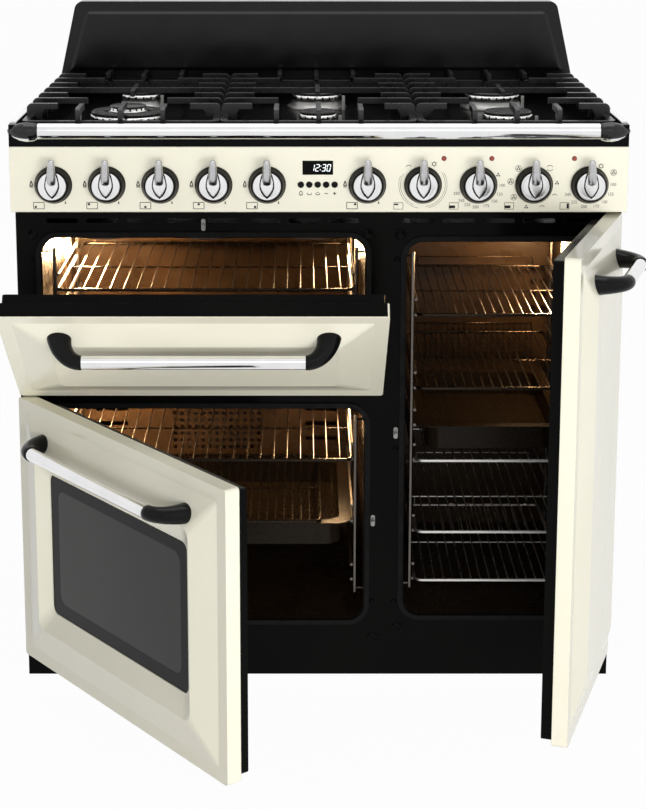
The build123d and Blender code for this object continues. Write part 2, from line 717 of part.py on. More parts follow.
with BuildPart() as hob_plate:
    with BuildSketch(Plane.XY.offset(PANEL_TOP)):
        with Locations((0, HOB_MID)):
            Rectangle(BODY_W, HOB_LEN)
    extrude(amount=HOB_RIM_Z - PANEL_TOP)
    add(hob_hollow.part, mode=Mode.SUBTRACT)
    with BuildSketch(Plane.XY.offset(LEDGE_Z)):
        with Locations((0, LEDGE_MID)):
            Rectangle(2 * LEDGE_X, LEDGE_LEN)
    extrude(amount=LEDGE_DROP, mode=Mode.SUBTRACT)
    with BuildSketch(Plane.XY.offset(WELL_Z)):
        with Locations((0, LEDGE_MID)):
            RectangleRounded(2 * (LEDGE_X - LEDGE_W), LEDGE_LEN - 2 * LEDGE_W, WELL_R)
    extrude(amount=WELL_DROP, mode=Mode.SUBTRACT)
save(hob_plate, "hob_plate")

# Hob edge trims: a half-round front bar and a thin steel strip along each side
BAR_X = BODY_W / 2 - CAP_L
BAR_Z = HOB_Z - BAR_H / 2
with BuildPart() as hob_edge_trims:
    with BuildSketch(Plane(origin=(-BAR_X, Y_FRONT, BAR_Z), x_dir=(0, 1, 0), z_dir=(1, 0, 0))):
        with BuildLine():
            Line((0, -BAR_H / 2), (0, BAR_H / 2))
            ThreePointArc((0, BAR_H / 2), (-BAR_DEPTH, 0), (0, -BAR_H / 2))
        make_face()
    extrude(amount=2 * BAR_X)
    with BuildSketch(Plane.XY.offset(HOB_RIM_Z)):
        with Locations((BODY_W / 2 - HOB_RIM_W / 2, LEDGE_MID)):
            Rectangle(HOB_RIM_W, LEDGE_LEN)
        mirror(about=Plane.YZ)
    extrude(amount=STRIP_T)
save(hob_edge_trims, "hob_edge_trims")

# Hob end caps: a moulded corner at each end of the front bar
with BuildPart() as hob_end_caps:
    with BuildSketch(Plane.XY.offset(HOB_Z - BAR_H)):
        with Locations((BODY_W / 2 - (CAP_L - CAP_OVER) / 2, Y_FRONT - CAP_D / 2)):
            Rectangle(CAP_L + CAP_OVER, CAP_D)
    extrude(amount=BAR_H)
    corner = hob_end_caps.edges().filter_by(Axis.Z).group_by(Axis.X)[-1].sort_by(Axis.Y)[0]
    fillet(corner, radius=CAP_R)
    for level in (0, -1):
        rims = hob_end_caps.faces().sort_by(Axis.Z)[level].edges()
        fillet(rims.sort_by(Axis.Y)[0:2], radius=CAP_EDGE)
    mirror(about=Plane.YZ)
save(hob_end_caps, "hob_end_caps")


def splash_outline(plane, inset):
    """The backsplash's outline: wider at the foot, rounded at the top, drawn in on all sides."""
    half_base = BODY_W / 2 - SPLASH_FOOT_IN - inset
    half_top = BODY_W / 2 - SPLASH_TOP_IN - inset
    top = SPLASH_H - inset
    with BuildSketch(plane) as outline:
        with BuildLine():
            Polyline((-half_top, top), (-half_base, inset), (half_base, inset), (half_top, top), close=True)
        make_face()
        fillet(outline.vertices().group_by(Axis.Y)[-1], radius=max(SPLASH_R - inset / 2, SHEET))
    return outline.sketch


# Backsplash: a folded upstand behind the hob, hollow at the back, with a raised panel
Y_SPLASH_BACK = HOB_BACK_Y - HOB_BACK_RIM + SPLASH_D
splash_back = facing(Y_SPLASH_BACK, 0, HOB_RIM_Z)
with BuildPart() as backsplash:
    extrude(splash_outline(splash_back, 0), amount=SPLASH_D)
    extrude(splash_outline(splash_back, SHEET), amount=SPLASH_D - SHEET, mode=Mode.SUBTRACT)
    panel = splash_outline(splash_back.offset(SPLASH_D), SPLASH_PANEL_IN)
    extrude(panel, amount=SPLASH_PANEL_H, taper=SPLASH_TAPER)
save(backsplash, "backsplash")

# Burners: column, row and crown radius; the first is the large double-ring burner
BURNER_FRONT_Y = LEDGE_MID - GRATE_D * BURNER_ROW_SHARE / 2
BURNER_BACK_Y = LEDGE_MID + GRATE_D * BURNER_ROW_SHARE / 2
BURNERS = [
    (-GRATE_W, BURNER_FRONT_Y, DOUBLE_R),
    (-GRATE_W, BURNER_BACK_Y, LEFT_BACK_R),
    (0.0, BURNER_FRONT_Y, SIMMER_R),
    (0.0, BURNER_BACK_Y, MIDDLE_BACK_R),
    (GRATE_W, BURNER_FRONT_Y, RIGHT_FRONT_R),
    (GRATE_W, BURNER_BACK_Y, RIGHT_BACK_R),
]
CROWN_Z = WELL_Z + BURNER_SEAT_H + BURNER_CONE_H
CAP_Z = CROWN_Z + BURNER_CROWN_H


def burner_ports(radius):
    """How many gas ports fit round a crown, at two port depths apart."""
    return int(2 * radius / BURNER_PORT_D)


# Burner bases: aluminium castings with a seat, a cone and a crown cut by gas ports
with BuildPart() as burner_bases:
    for x, y, radius in BURNERS:
        with Locations((x, y, WELL_Z)):
            Cylinder(
                radius + BURNER_SEAT_OVER, BURNER_SEAT_H, align=(Align.CENTER, Align.CENTER, Align.MIN)
            )
        with Locations((x, y, WELL_Z + BURNER_SEAT_H)):
            Cone(
                radius + BURNER_PORT_D,
                radius,
                BURNER_CONE_H,
                align=(Align.CENTER, Align.CENTER, Align.MIN),
            )
        with Locations((x, y, CROWN_Z)):
            Cylinder(radius, BURNER_CROWN_H, align=(Align.CENTER, Align.CENTER, Align.MIN))
            with PolarLocations(radius, burner_ports(radius)):
                Box(
                    2 * BURNER_PORT_D,
                    BURNER_PORT_W,
                    BURNER_CROWN_H,
                    align=(Align.CENTER, Align.CENTER, Align.MIN),
                    mode=Mode.SUBTRACT,
                )
save(burner_bases, "burner_bases")

# Burner caps: enamelled lids on the crowns; the large burner has a ring and a small lid inside it
with BuildPart() as burner_caps:
    for number, (x, y, radius) in enumerate(BURNERS):
        with BuildSketch(Plane.XY.offset(CAP_Z)):
            with Locations((x, y)):
                Circle(radius - FRAME_T)
                if number == 0:
                    Circle(radius - RAPID_RING_W, mode=Mode.SUBTRACT)
                    Circle(radius - RAPID_RING_W - BURNER_CAP_H)
        extrude(amount=BURNER_CAP_H)
    top_edges = burner_caps.faces().group_by(Axis.Z)[-1].edges()
    chamfer(top_edges, length=BURNER_CAP_H / 3)
save(burner_caps, "burner_caps")

# Spark igniters: a ceramic pin beside each burner
with BuildPart() as spark_igniters:
    with BuildSketch(Plane.XY.offset(WELL_Z)):
        for x, y, radius in BURNERS:
            reach = radius + IGNITER_OUT
            turn = radians(IGNITER_TURN)
            with Locations((x + reach * cos(turn), y + reach * sin(turn))):
                Circle(IGNITER_R)
    extrude(amount=IGNITER_H)
save(spark_igniters, "spark_igniters")


def finger_profile(root, length):
    """The side view of a pan-support finger: a foot on the rail, an upright and a level arm."""
    with BuildSketch(root) as profile:
        with BuildLine():
            Line((0, 0), (0, GRATE_H - FINGER_R))
            RadiusArc((0, GRATE_H - FINGER_R), (FINGER_R, GRATE_H), FINGER_R)
            Polyline(
                (FINGER_R, GRATE_H),
                (length, GRATE_H),
                (length, GRATE_H - FINGER_H),
                (FINGER_ROOT + FINGER_H / 2, GRATE_H - FINGER_H),
                (FINGER_ROOT, GRATE_RAIL_H),
                (FINGER_ROOT, 0),
                (0, 0),
            )
        make_face()
    return profile.sketch


def grate(middle_x):
    """One cast-iron pan support: a rounded base frame carrying rows of level fingers."""
    half_w = (GRATE_W - GRATE_GAP) / 2
    half_d = GRATE_D / 2
    row_pitch = GRATE_D / (FINGER_ROWS + 1)
    with BuildPart() as piece:
        with BuildSketch(Plane.XY.offset(LEDGE_Z)):
            with Locations((middle_x, LEDGE_MID)):
                RectangleRounded(2 * half_w, GRATE_D, GRATE_R)
                RectangleRounded(
                    2 * (half_w - GRATE_RAIL_W),
                    GRATE_D - 2 * GRATE_RAIL_W,
                    GRATE_R - GRATE_RAIL_W / 2,
                    mode=Mode.SUBTRACT,
                )
        extrude(amount=GRATE_RAIL_H)
        for row in range(FINGER_ROWS):
            y = LEDGE_MID + (row - (FINGER_ROWS - 1) / 2) * row_pitch
            is_middle = row == FINGER_ROWS // 2
            side_length = LONG_FINGER if row % 2 else SHORT_FINGER
            length = half_w if is_middle else side_length
            for side in (-1, 1):
                root = Plane(
                    origin=(middle_x + side * half_w, y, LEDGE_Z),
                    x_dir=(-side, 0, 0),
                    z_dir=(0, side, 0),
                )
                extrude(finger_profile(root, length), amount=FINGER_T / 2, both=True)
        for end in (-1, 1):
            for column in (-1, 0, 1):
                root = Plane(
                    origin=(middle_x + column * END_FINGER_PITCH, LEDGE_MID + end * half_d, LEDGE_Z),
                    x_dir=(0, -end, 0),
                    z_dir=(-end, 0, 0),
                )
                end_length = END_FINGER + (FINGER_ROOT if column == 0 else 0)
                extrude(finger_profile(root, end_length), amount=FINGER_T / 2, both=True)
        with Locations((middle_x, LEDGE_MID, LEDGE_Z + GRATE_H - FINGER_H / 2)):
            Box(FINGER_T, CROSS_L, FINGER_H)
    return piece


for name, column in (("left", -1), ("centre", 0), ("right", 1)):
    save(grate(column * GRATE_W), f"grate_{name}")

# Doors: one construction in three sizes, built on a plane that swings about the hinge pins
DOOR_D = LINER_D + SKIN_D
PIVOT_W = DOOR_D - PIVOT_BACK
Y_DOOR_BACK = Y_FRAME - (DOOR_ZONE - DOOR_D - FRAME_T)
LEFT_EDGE = -BODY_W / 2 + DOOR_EDGE_GAP
RIGHT_EDGE = BODY_W / 2 - DOOR_EDGE_GAP
LEFT_DOOR_W = SPLIT_X - SPLIT_GAP / 2 - LEFT_EDGE
TALL_DOOR_W = RIGHT_EDGE - SPLIT_X - SPLIT_GAP / 2
TALL_DOOR_H = DOOR_TOP - DOOR_Z0
FIELD_IN = RIM_W + SLOPE_W
FIELD_W = DOOR_D + RAISE


class Door:
    """Where a door hangs: its size, its closed plane and the same plane swung open."""

    def __init__(self, corner, along, size_u, size_v, angle):
        self.size_u = size_u
        self.size_v = size_v
        self.closed = Plane(origin=corner, x_dir=along, z_dir=(0, -1, 0))
        pivot = Pos(PIVOT_IN, 0, PIVOT_W)
        self.plane = Plane(self.closed.location * pivot * Rotation(0, -angle, 0) * pivot.inverse())
        self.hinges = (HINGE_END, size_v - HINGE_END)

    def level(self, w):
        """The door's plane at a height over its back face, with its middle as the origin."""
        return Plane(self.plane.location * Pos(self.size_u / 2, self.size_v / 2, w))


MAIN_DOOR = Door((LEFT_EDGE, Y_DOOR_BACK, DOOR_Z0), (1, 0, 0), LEFT_DOOR_W, MAIN_DOOR_H, REST_MAIN)
TALL_DOOR = Door((RIGHT_EDGE, Y_DOOR_BACK, DOOR_TOP), (-1, 0, 0), TALL_DOOR_W, TALL_DOOR_H, REST_TALL)
GRILL_DOOR = Door(
    (SPLIT_X - SPLIT_GAP / 2, Y_DOOR_BACK, GRILL_DOOR_Z0),
    (0, 0, 1),
    GRILL_DOOR_H,
    LEFT_DOOR_W,
    REST_GRILL,
)


def inset_rect(door, inset_u, inset_v, radius):
    """A rounded rectangle drawn in from the door's outline."""
    RectangleRounded(door.size_u - 2 * inset_u, door.size_v - 2 * inset_v, radius)


def raised_form(door, sink=0.0, edge=0.0, start=LINER_D):
    """The door front as a full solid: flat rim, sloping sides and a raised field, sunk by a sheet."""
    with BuildPart() as form:
        with BuildSketch(door.level(start)):
            inset_rect(door, edge, edge, DOOR_R)
        extrude(amount=DOOR_D - sink - start)
        with BuildSketch(door.level(DOOR_D - sink)):
            inset_rect(door, RIM_W, RIM_W, DOOR_R)
        with BuildSketch(door.level(FIELD_W - sink)):
            inset_rect(door, FIELD_IN, FIELD_IN, WINDOW_R)
        loft()
    return form


def window_bevel(door, sink=0.0):
    """The sunk bevel round the window, from the field's edge down to the glass."""
    with BuildPart() as bevel:
        with BuildSketch(door.level(DOOR_D + SKIN_T / 2 - sink)):
            inset_rect(door, WINDOW_SIDE - SKIN_T / 2 - sink, WINDOW_END - SKIN_T / 2 - sink, WINDOW_R)
        with BuildSketch(door.level(FIELD_W - sink)):
            inset_rect(door, FIELD_IN - sink, FIELD_IN - sink, WINDOW_R + DOOR_R)
        loft()
    return bevel


def hinge_slots(door):
    """Room for the fixed hinge arms in the hinge edge of a door."""
    slot_u = PIVOT_IN + ARM_EYE_R + CLEAR
    slot_w = PIVOT_W + ARM_EYE_R + 3 * CLEAR
    with BuildPart() as slots:
        with Locations(*[door.plane.location * Pos(slot_u / 2, v, 0) for v in door.hinges]):
            Box(slot_u + FRAME_T, ARM_T + 2 * ARM_SLOT_GAP, 2 * slot_w)
    return slots


def hinge_room(door):
    """Room for the liner's hinge blocks inside the skin."""
    block = LINER_INSET + HINGE_BLOCK_W
    with BuildPart() as room:
        with Locations(*[door.plane.location * Pos(block / 2 + SKIN_T, v, LINER_D) for v in door.hinges]):
            Box(block, HINGE_BLOCK_H + 2 * CLEAR, SKIN_D)
    return room


def door_skin(door, windowed):
    """The enamelled outer skin: a pressed tray with a folded lip at the back."""
    with BuildPart() as hollow:
        add(raised_form(door, SKIN_T, SKIN_T, LINER_D + SHEET).part)
        if windowed:
            add(window_bevel(door, SKIN_T).part, mode=Mode.SUBTRACT)
        with BuildSketch(door.level(LINER_D)):
            inset_rect(door, SKIN_T + LIP_W, SKIN_T + LIP_W, DOOR_R)
        extrude(amount=SHEET)
    with BuildPart() as skin:
        add(raised_form(door).part)
        if windowed:
            add(window_bevel(door).part, mode=Mode.SUBTRACT)
        add(hollow.part, mode=Mode.SUBTRACT)
        if windowed:
            with BuildSketch(door.level(LINER_D)):
                inset_rect(door, WINDOW_SIDE, WINDOW_END, WINDOW_R)
            extrude(amount=FIELD_W, mode=Mode.SUBTRACT)
        add(hinge_room(door).part, mode=Mode.SUBTRACT)
        add(hinge_slots(door).part, mode=Mode.SUBTRACT)
    return skin


def door_liner(door, windowed, catch_u, catch_v):
    """The black inner panel: a pan closed towards the oven, with hinge blocks and a catch hole."""
    inset = LINER_INSET
    with BuildPart() as liner:
        with BuildSketch(door.level(0)):
            inset_rect(door, inset, inset, DOOR_R)
        extrude(amount=LINER_D)
        with BuildSketch(door.level(SHEET)):
            inset_rect(door, inset + SHEET, inset + SHEET, DOOR_R)
        extrude(amount=LINER_D, mode=Mode.SUBTRACT)
        if windowed:
            with BuildSketch(door.level(0)):
                inset_rect(door, WINDOW_SIDE, WINDOW_END, WINDOW_R)
            extrude(amount=SHEET, mode=Mode.SUBTRACT)
        block_u = inset + HINGE_BLOCK_W / 2
        block_w = LINER_D + SKIN_D / 2
        with Locations(*[door.plane.location * Pos(block_u, v, block_w / 2) for v in door.hinges]):
            Box(HINGE_BLOCK_W, HINGE_BLOCK_H, block_w)
        with Locations(*[door.plane.location * Pos(PIVOT_IN, v, PIVOT_W) for v in door.hinges]):
            Box(2 * (PIVOT_IN - inset), HINGE_BLOCK_H, 2 * ARM_EYE_R)
            Cylinder(
                PIN_R + FIT,
                PIN_L + 2 * CLEAR,
                rotation=(90, 0, 0),
                mode=Mode.SUBTRACT,
            )
        add(hinge_slots(door).part, mode=Mode.SUBTRACT)
        with Locations(door.plane.location * Pos(catch_u, catch_v, 0)):
            Box(
                2 * (CATCH_R + CATCH_ROOM),
                2 * (CATCH_FOOT + CATCH_ROOM),
                2 * SHEET,
                mode=Mode.SUBTRACT,
            )
    return liner


def handle_base(door, end):
    """The middle of a handle bracket's foot, and the way that the bar runs from it."""
    if door is GRILL_DOOR:
        spot = (door.size_u - GRIP_DROP, BRACKET_INSET if end < 0 else door.size_v - BRACKET_INSET)
        return spot, (0, -end, 0)
    from_top = GRIP_DROP if door is TALL_DOOR else door.size_v - GRIP_DROP
    spot = (BRACKET_INSET if end < 0 else door.size_u - BRACKET_INSET, from_top)
    return spot, (-end, 0, 0)


def handle_bracket(door, end):
    """A moulded elbow: an oval stem, a slanted outer face and an arm that narrows to the bar."""
    (u, v), run = handle_base(door, end)
    foot = Plane(origin=(u, v, DOOR_D - SKIN_T), x_dir=run, z_dir=(0, 0, 1))
    base = Plane(door.plane.location * foot.location)
    side = Plane(base.location * Rotation(90, 0, 0))
    rise = FIELD_W + GRIP_STAND_OFF - DOOR_D + SKIN_T
    with BuildPart() as bracket:
        with BuildSketch(side):
            with BuildLine():
                Polyline(
                    (BRACKET_STEM_A, 0),
                    (-BRACKET_STEM_A, 0),
                    (-BRACKET_STEM_A, rise - BRACKET_HEEL),
                    (BRACKET_REACH, rise + BRACKET_END_R),
                    (BRACKET_REACH, rise - BRACKET_END_R),
                )
                RadiusArc(
                    (BRACKET_REACH, rise - BRACKET_END_R),
                    (BRACKET_STEM_A, rise - BRACKET_END_R - BRACKET_BEND),
                    BRACKET_BEND,
                )
                Line((BRACKET_STEM_A, rise - BRACKET_END_R - BRACKET_BEND), (BRACKET_STEM_A, 0))
            make_face()
        extrude(amount=2 * BRACKET_STEM_B, both=True)
        with BuildSketch(base):
            Ellipse(BRACKET_STEM_A, BRACKET_STEM_B)
            Polygon(
                (0, BRACKET_STEM_B),
                (0, -BRACKET_STEM_B),
                (BRACKET_REACH, -BRACKET_END_R),
                (BRACKET_REACH, BRACKET_END_R),
                align=None,
            )
        extrude(amount=rise + 2 * BRACKET_END_R, mode=Mode.INTERSECT)
        add(raised_form(door).part, mode=Mode.SUBTRACT)
    return bracket


def handle_bar(door):
    """A straight round bar between the tips of the two brackets."""
    (u0, v0), run = handle_base(door, -1)
    (u1, v1), _ = handle_base(door, 1)
    length = abs(u1 - u0) + abs(v1 - v0) - 2 * BRACKET_REACH
    start = Plane(
        origin=(u0 + run[0] * BRACKET_REACH, v0 + run[1] * BRACKET_REACH, FIELD_W + GRIP_STAND_OFF),
        x_dir=(0, 0, 1),
        z_dir=run,
    )
    with BuildPart() as bar:
        with BuildSketch(Plane(door.plane.location * start.location)):
            Circle(GRIP_D / 2)
        extrude(amount=length)
    return bar


MAIN_CATCH_X = CAVITY_LEFT_X1 + SEAL_IN + SEAL_W + CATCH_R + CATCH_ROOM
MAIN_CATCH_Z = DOOR_Z0 + MAIN_DOOR_H / 2
TALL_CATCH_X = CAVITY_TALL_X0 - SEAL_IN - SEAL_W - CATCH_R - CATCH_ROOM
TALL_CATCH_Z = DOOR_Z0 + TALL_DOOR_H / 2
GRILL_CATCH_X = LEFT_MID
GRILL_CATCH_Z = GRILL_CAVITY_Z1 + SEAL_IN + SEAL_W + CATCH_FOOT + CATCH_ROOM

DOORS = {
    "grill": (GRILL_DOOR, False, GRILL_CATCH_Z - GRILL_DOOR_Z0, SPLIT_X - SPLIT_GAP / 2 - GRILL_CATCH_X),
    "main": (MAIN_DOOR, True, MAIN_CATCH_X - LEFT_EDGE, MAIN_CATCH_Z - DOOR_Z0),
    "tall": (TALL_DOOR, False, RIGHT_EDGE - TALL_CATCH_X, DOOR_TOP - TALL_CATCH_Z),
}
for name, (door, windowed, catch_u, catch_v) in DOORS.items():
    save(door_skin(door, windowed), f"{name}_door_skin")
    save(door_liner(door, windowed, catch_u, catch_v), f"{name}_door_liner")
    save(handle_bar(door), f"{name}_handle_bar")
    with BuildPart() as brackets:
        add(handle_bracket(door, -1).part)
        add(handle_bracket(door, 1).part)
    save(brackets, f"{name}_handle_brackets")

# Main door glass: an outer pane behind the bevel and an inner pane on the liner
with BuildPart() as main_door_glass:
    with BuildSketch(MAIN_DOOR.level(DOOR_D + SKIN_T / 2 - SKIN_T - GLASS_T)):
        inset_rect(MAIN_DOOR, WINDOW_SIDE - GLASS_LAP, WINDOW_END - GLASS_LAP, WINDOW_R)
    extrude(amount=GLASS_T)
    with BuildSketch(MAIN_DOOR.level(SHEET)):
        inset_rect(MAIN_DOOR, WINDOW_SIDE - GLASS_LAP, WINDOW_END - GLASS_LAP, WINDOW_R)
    extrude(amount=GLASS_T)
save(main_door_glass, "main_door_glass")

# Door fittings: hinge arms on the front frame, each with an eye and a pin that the door turns on,
# and a catch pin on a small foot beside each opening
with BuildPart() as door_fittings:
    arm_root = Y_FRAME - Y_DOOR_BACK
    for door in (MAIN_DOOR, TALL_DOOR, GRILL_DOOR):
        for v in door.hinges:
            with Locations(door.closed.location * Pos(PIVOT_IN, v, (PIVOT_W - arm_root) / 2)):
                Box(ARM_W, ARM_T, PIVOT_W + arm_root)
            with Locations(door.closed.location * Pos(PIVOT_IN, v, PIVOT_W)):
                Cylinder(ARM_EYE_R, ARM_T, rotation=(90, 0, 0))
                Cylinder(PIN_R, PIN_L, rotation=(90, 0, 0))
            with Locations(door.closed.location * Pos(PIVOT_IN, v, HINGE_FOOT_T / 2 - arm_root)):
                Box(HINGE_BLOCK_W, HINGE_BLOCK_H, HINGE_FOOT_T)
    catch_spots = [(MAIN_CATCH_X, MAIN_CATCH_Z), (TALL_CATCH_X, TALL_CATCH_Z), (GRILL_CATCH_X, GRILL_CATCH_Z)]
    with BuildSketch(facing(Y_FRAME)):
        with Locations(*catch_spots):
            RectangleRounded(2 * CATCH_R, 2 * CATCH_FOOT, CATCH_R - CLEAR)
    extrude(amount=FRAME_T)
    with BuildSketch(facing(Y_FRAME - FRAME_T)):
        with Locations(*catch_spots):
            Circle(CATCH_PIN_R)
    extrude(amount=CATCH_L - FRAME_T)
save(door_fittings, "door_fittings")

# Wire racks and runners: each rack is a bent frame with fore-and-aft wires
Y_RACK_FRONT = Y_LINER + RACK_FRONT
RUNNER_TOP = sqrt((WIRE_R + RUNNER_R + FIT) ** 2 - RAIL_SHIFT**2)


def rack(x0, x1, z, depth, wires):
    """A wire rack whose side rails lie on the runners at x0 and x1."""
    middle = (x0 + x1) / 2
    y_mid = Y_RACK_FRONT + depth / 2
    wire_span = x1 - x0 - 2 * (RACK_R + WIRE_R)
    with BuildPart() as piece:
        with BuildLine(Plane.XY.offset(z)) as loop:
            FilletPolyline(
                (x1, Y_RACK_FRONT),
                (x1, Y_RACK_FRONT + depth),
                (x0, Y_RACK_FRONT + depth),
                (x0, Y_RACK_FRONT),
                radius=RACK_R,
                close=True,
            )
        with BuildSketch(Plane(loop.line @ 0, z_dir=loop.line % 0)):
            RegularPolygon(WIRE_R, WIRE_SIDES)
        sweep()
        with BuildSketch(facing(Y_RACK_FRONT + depth, middle, z)):
            with GridLocations(wire_span / (wires - 1), 0, wires, 1):
                RegularPolygon(THIN_R, THIN_SIDES)
        extrude(amount=depth)
        with BuildSketch(Plane((x0, y_mid, z - CROSS_DROP), z_dir=(1, 0, 0))):
            RegularPolygon(THIN_R, THIN_SIDES)
        extrude(amount=x1 - x0)
    return piece


def ladder(wall_x, inwards, z0, z1, levels):
    """A runner ladder on an oven wall: two uprights with stand-off feet, and pairs of runners."""
    upright_x = wall_x + inwards * LADDER_OFF
    runner_x = upright_x + inwards * RUNNER_IN
    y_front = Y_RACK_FRONT + 2 * RACK_R
    y_rear = Y_RACK_FRONT + RACK_D - 2 * RACK_R
    with BuildPart() as piece:
        with BuildSketch(Plane.XY.offset(z0)):
            with Locations((upright_x, y_front), (upright_x, y_rear)):
                RegularPolygon(WIRE_R, WIRE_SIDES)
        extrude(amount=z1 - z0)
        foot_plane = Plane(origin=(wall_x, 0, 0), x_dir=(0, 1, 0), z_dir=(inwards, 0, 0))
        z_sign = foot_plane.y_dir.Z
        with BuildSketch(foot_plane):
            for y in (y_front, y_rear):
                with Locations((y, z_sign * (z0 + 2 * WIRE_R)), (y, z_sign * (z1 - 2 * WIRE_R))):
                    RegularPolygon(THIN_R, THIN_SIDES)
        extrude(amount=LADDER_OFF)
        with BuildSketch(facing(y_rear + 2 * WIRE_R)):
            for level in levels:
                with Locations((runner_x, level), (runner_x, level + RUNNER_PAIR)):
                    RegularPolygon(RUNNER_R, WIRE_SIDES)
        extrude(amount=y_rear - y_front + 4 * WIRE_R)
    return piece


RAIL_OFF = LADDER_OFF + RUNNER_IN + RAIL_SHIFT
LEFT_X0 = CAVITY_LEFT_X0 + RAIL_OFF
LEFT_X1 = CAVITY_LEFT_X1 - RAIL_OFF
TALL_X0 = CAVITY_TALL_X0 + RAIL_OFF
TALL_X1 = CAVITY_TALL_X1 - RAIL_OFF
TALL_RACK_ZS = [PLATE_RACK_Z] + [TALL_RACK_Z0 + i * TALL_RACK_PITCH for i in range(TALL_RACKS)]
with BuildPart() as oven_racks:
    add(rack(LEFT_X0, LEFT_X1, GRILL_RACK_Z, RACK_D, LEFT_WIRES).part)
    add(rack(LEFT_X0, LEFT_X1, MAIN_RACK_Z, RACK_D, LEFT_WIRES).part)
    add(rack(LEFT_MID - GRID_W / 2, LEFT_MID + GRID_W / 2, PAN_GRID_Z, PAN_D, GRID_WIRES).part)
    for z in TALL_RACK_ZS:
        add(rack(TALL_X0, TALL_X1, z, RACK_D, TALL_WIRES).part)
save(oven_racks, "oven_racks")

PAN_Z = PAN_GRID_Z - WIRE_R - FIT - SHEET
TRAY_Z = TALL_RACK_ZS[-2] - TRAY_DROP
MAIN_LEVELS = (MAIN_CAVITY_Z0 + 2 * RUNNER_PAIR, PAN_Z - RUNNER_R - FIT, MAIN_RACK_Z - RUNNER_TOP)
GRILL_LEVELS = (GRILL_CAVITY_Z0 + 2 * RUNNER_PAIR, GRILL_RACK_Z - RUNNER_TOP)
TALL_LEVELS = [z - RUNNER_TOP for z in TALL_RACK_ZS] + [TRAY_Z - RUNNER_R - FIT]
with BuildPart() as runner_ladders:
    for x0, x1, z0, z1, levels in (
        (CAVITY_LEFT_X0, CAVITY_LEFT_X1, GRILL_CAVITY_Z0, GRILL_CAVITY_Z1, GRILL_LEVELS),
        (CAVITY_LEFT_X0, CAVITY_LEFT_X1, MAIN_CAVITY_Z0, MAIN_CAVITY_Z1, MAIN_LEVELS),
        (CAVITY_TALL_X0, CAVITY_TALL_X1, TALL_CAVITY_Z0, TALL_CAVITY_Z1, TALL_LEVELS),
    ):
        add(ladder(x0, 1, z0 + CAVITY_R, z1 - CAVITY_R, levels).part)
        add(ladder(x1, -1, z0 + CAVITY_R, z1 - CAVITY_R, levels).part)
save(runner_ladders, "runner_ladders")


def pan(x0, x1, z):
    """A deep enamelled tray hung by its flange on the runners at x0 and x1."""
    spot = ((x0 + x1) / 2, Y_RACK_FRONT + PAN_D / 2)
    inner_w = x1 - x0 - 2 * PAN_FLANGE
    inner_d = PAN_D - 2 * PAN_FLANGE
    with BuildPart() as piece:
        with BuildSketch(Plane.XY.offset(z)):
            with Locations(spot):
                RectangleRounded(x1 - x0 + RUNNER_R, PAN_D, PAN_R)
        extrude(amount=SHEET)
        with BuildSketch(Plane.XY.offset(z - PAN_DEPTH)):
            with Locations(spot):
                RectangleRounded(inner_w, inner_d, PAN_R)
        extrude(amount=PAN_DEPTH)
        with BuildSketch(Plane.XY.offset(z - PAN_DEPTH + SHEET)):
            with Locations(spot):
                RectangleRounded(inner_w - 2 * SHEET, inner_d - 2 * SHEET, PAN_R - SHEET)
        extrude(amount=PAN_DEPTH + SHEET, mode=Mode.SUBTRACT)
    return piece


# Oven pans: a roasting pan under its grid in the main oven and a baking tray in the tall one
with BuildPart() as oven_pans:
    add(pan(LEFT_X0, LEFT_X1, PAN_Z).part)
    add(pan(TALL_X0, TALL_X1, TRAY_Z).part)
save(oven_pans, "oven_pans")

# Fan cover: a shallow perforated box on the main oven's back wall
with BuildPart() as fan_cover:
    wall = facing(Y_BACK_WALL, LEFT_MID, FAN_Z)
    with BuildSketch(wall):
        RectangleRounded(COVER_W, COVER_H, COVER_R)
    extrude(amount=COVER_D)
    with BuildSketch(wall):
        RectangleRounded(COVER_W - 2 * SHEET, COVER_H - 2 * SHEET, COVER_R - SHEET)
    extrude(amount=COVER_D - SHEET, mode=Mode.SUBTRACT)
    with BuildSketch(wall.offset(COVER_D - SHEET)):
        with GridLocations(PORT_PITCH, PORT_PITCH, PORT_COLUMNS, PORT_ROWS):
            RegularPolygon(PORT_R, 6)
        vent_x = (PORT_COLUMNS * PORT_PITCH + COVER_W / 2) / 2
        with Locations((-vent_x, 0), (vent_x, 0)):
            with GridLocations(0, VENT_PITCH, 1, VENT_ROWS):
                Rectangle(VENT_L, VENT_H)
    extrude(amount=SHEET, mode=Mode.SUBTRACT)
save(fan_cover, "fan_cover")

# Fan: a backplate with radial blades on a shaft through the oven's back wall
FAN_GAP = (COVER_D - SHEET - FAN_DEPTH) / 2
with BuildPart() as fan_impeller:
    hub_plane = facing(Y_BACK_WALL - FAN_GAP, LEFT_MID, FAN_Z)
    with BuildSketch(hub_plane):
        Circle(FAN_R)
    extrude(amount=SHEET)
    with BuildSketch(hub_plane):
        Circle(FAN_HUB_R)
    extrude(amount=FAN_DEPTH)
    with BuildSketch(hub_plane):
        with PolarLocations((FAN_R + FAN_HUB_R) / 2, FAN_BLADES):
            Rectangle(FAN_R - FAN_HUB_R - SHEET, SHEET)
    extrude(amount=FAN_DEPTH)
    with BuildSketch(Plane(origin=(LEFT_MID, Y_BACK_WALL - FAN_GAP, FAN_Z), z_dir=(0, 1, 0))):
        Circle(FAN_SHAFT_R)
    extrude(amount=FAN_GAP + SHEET + FAN_TAIL)
save(fan_impeller, "fan_impeller")

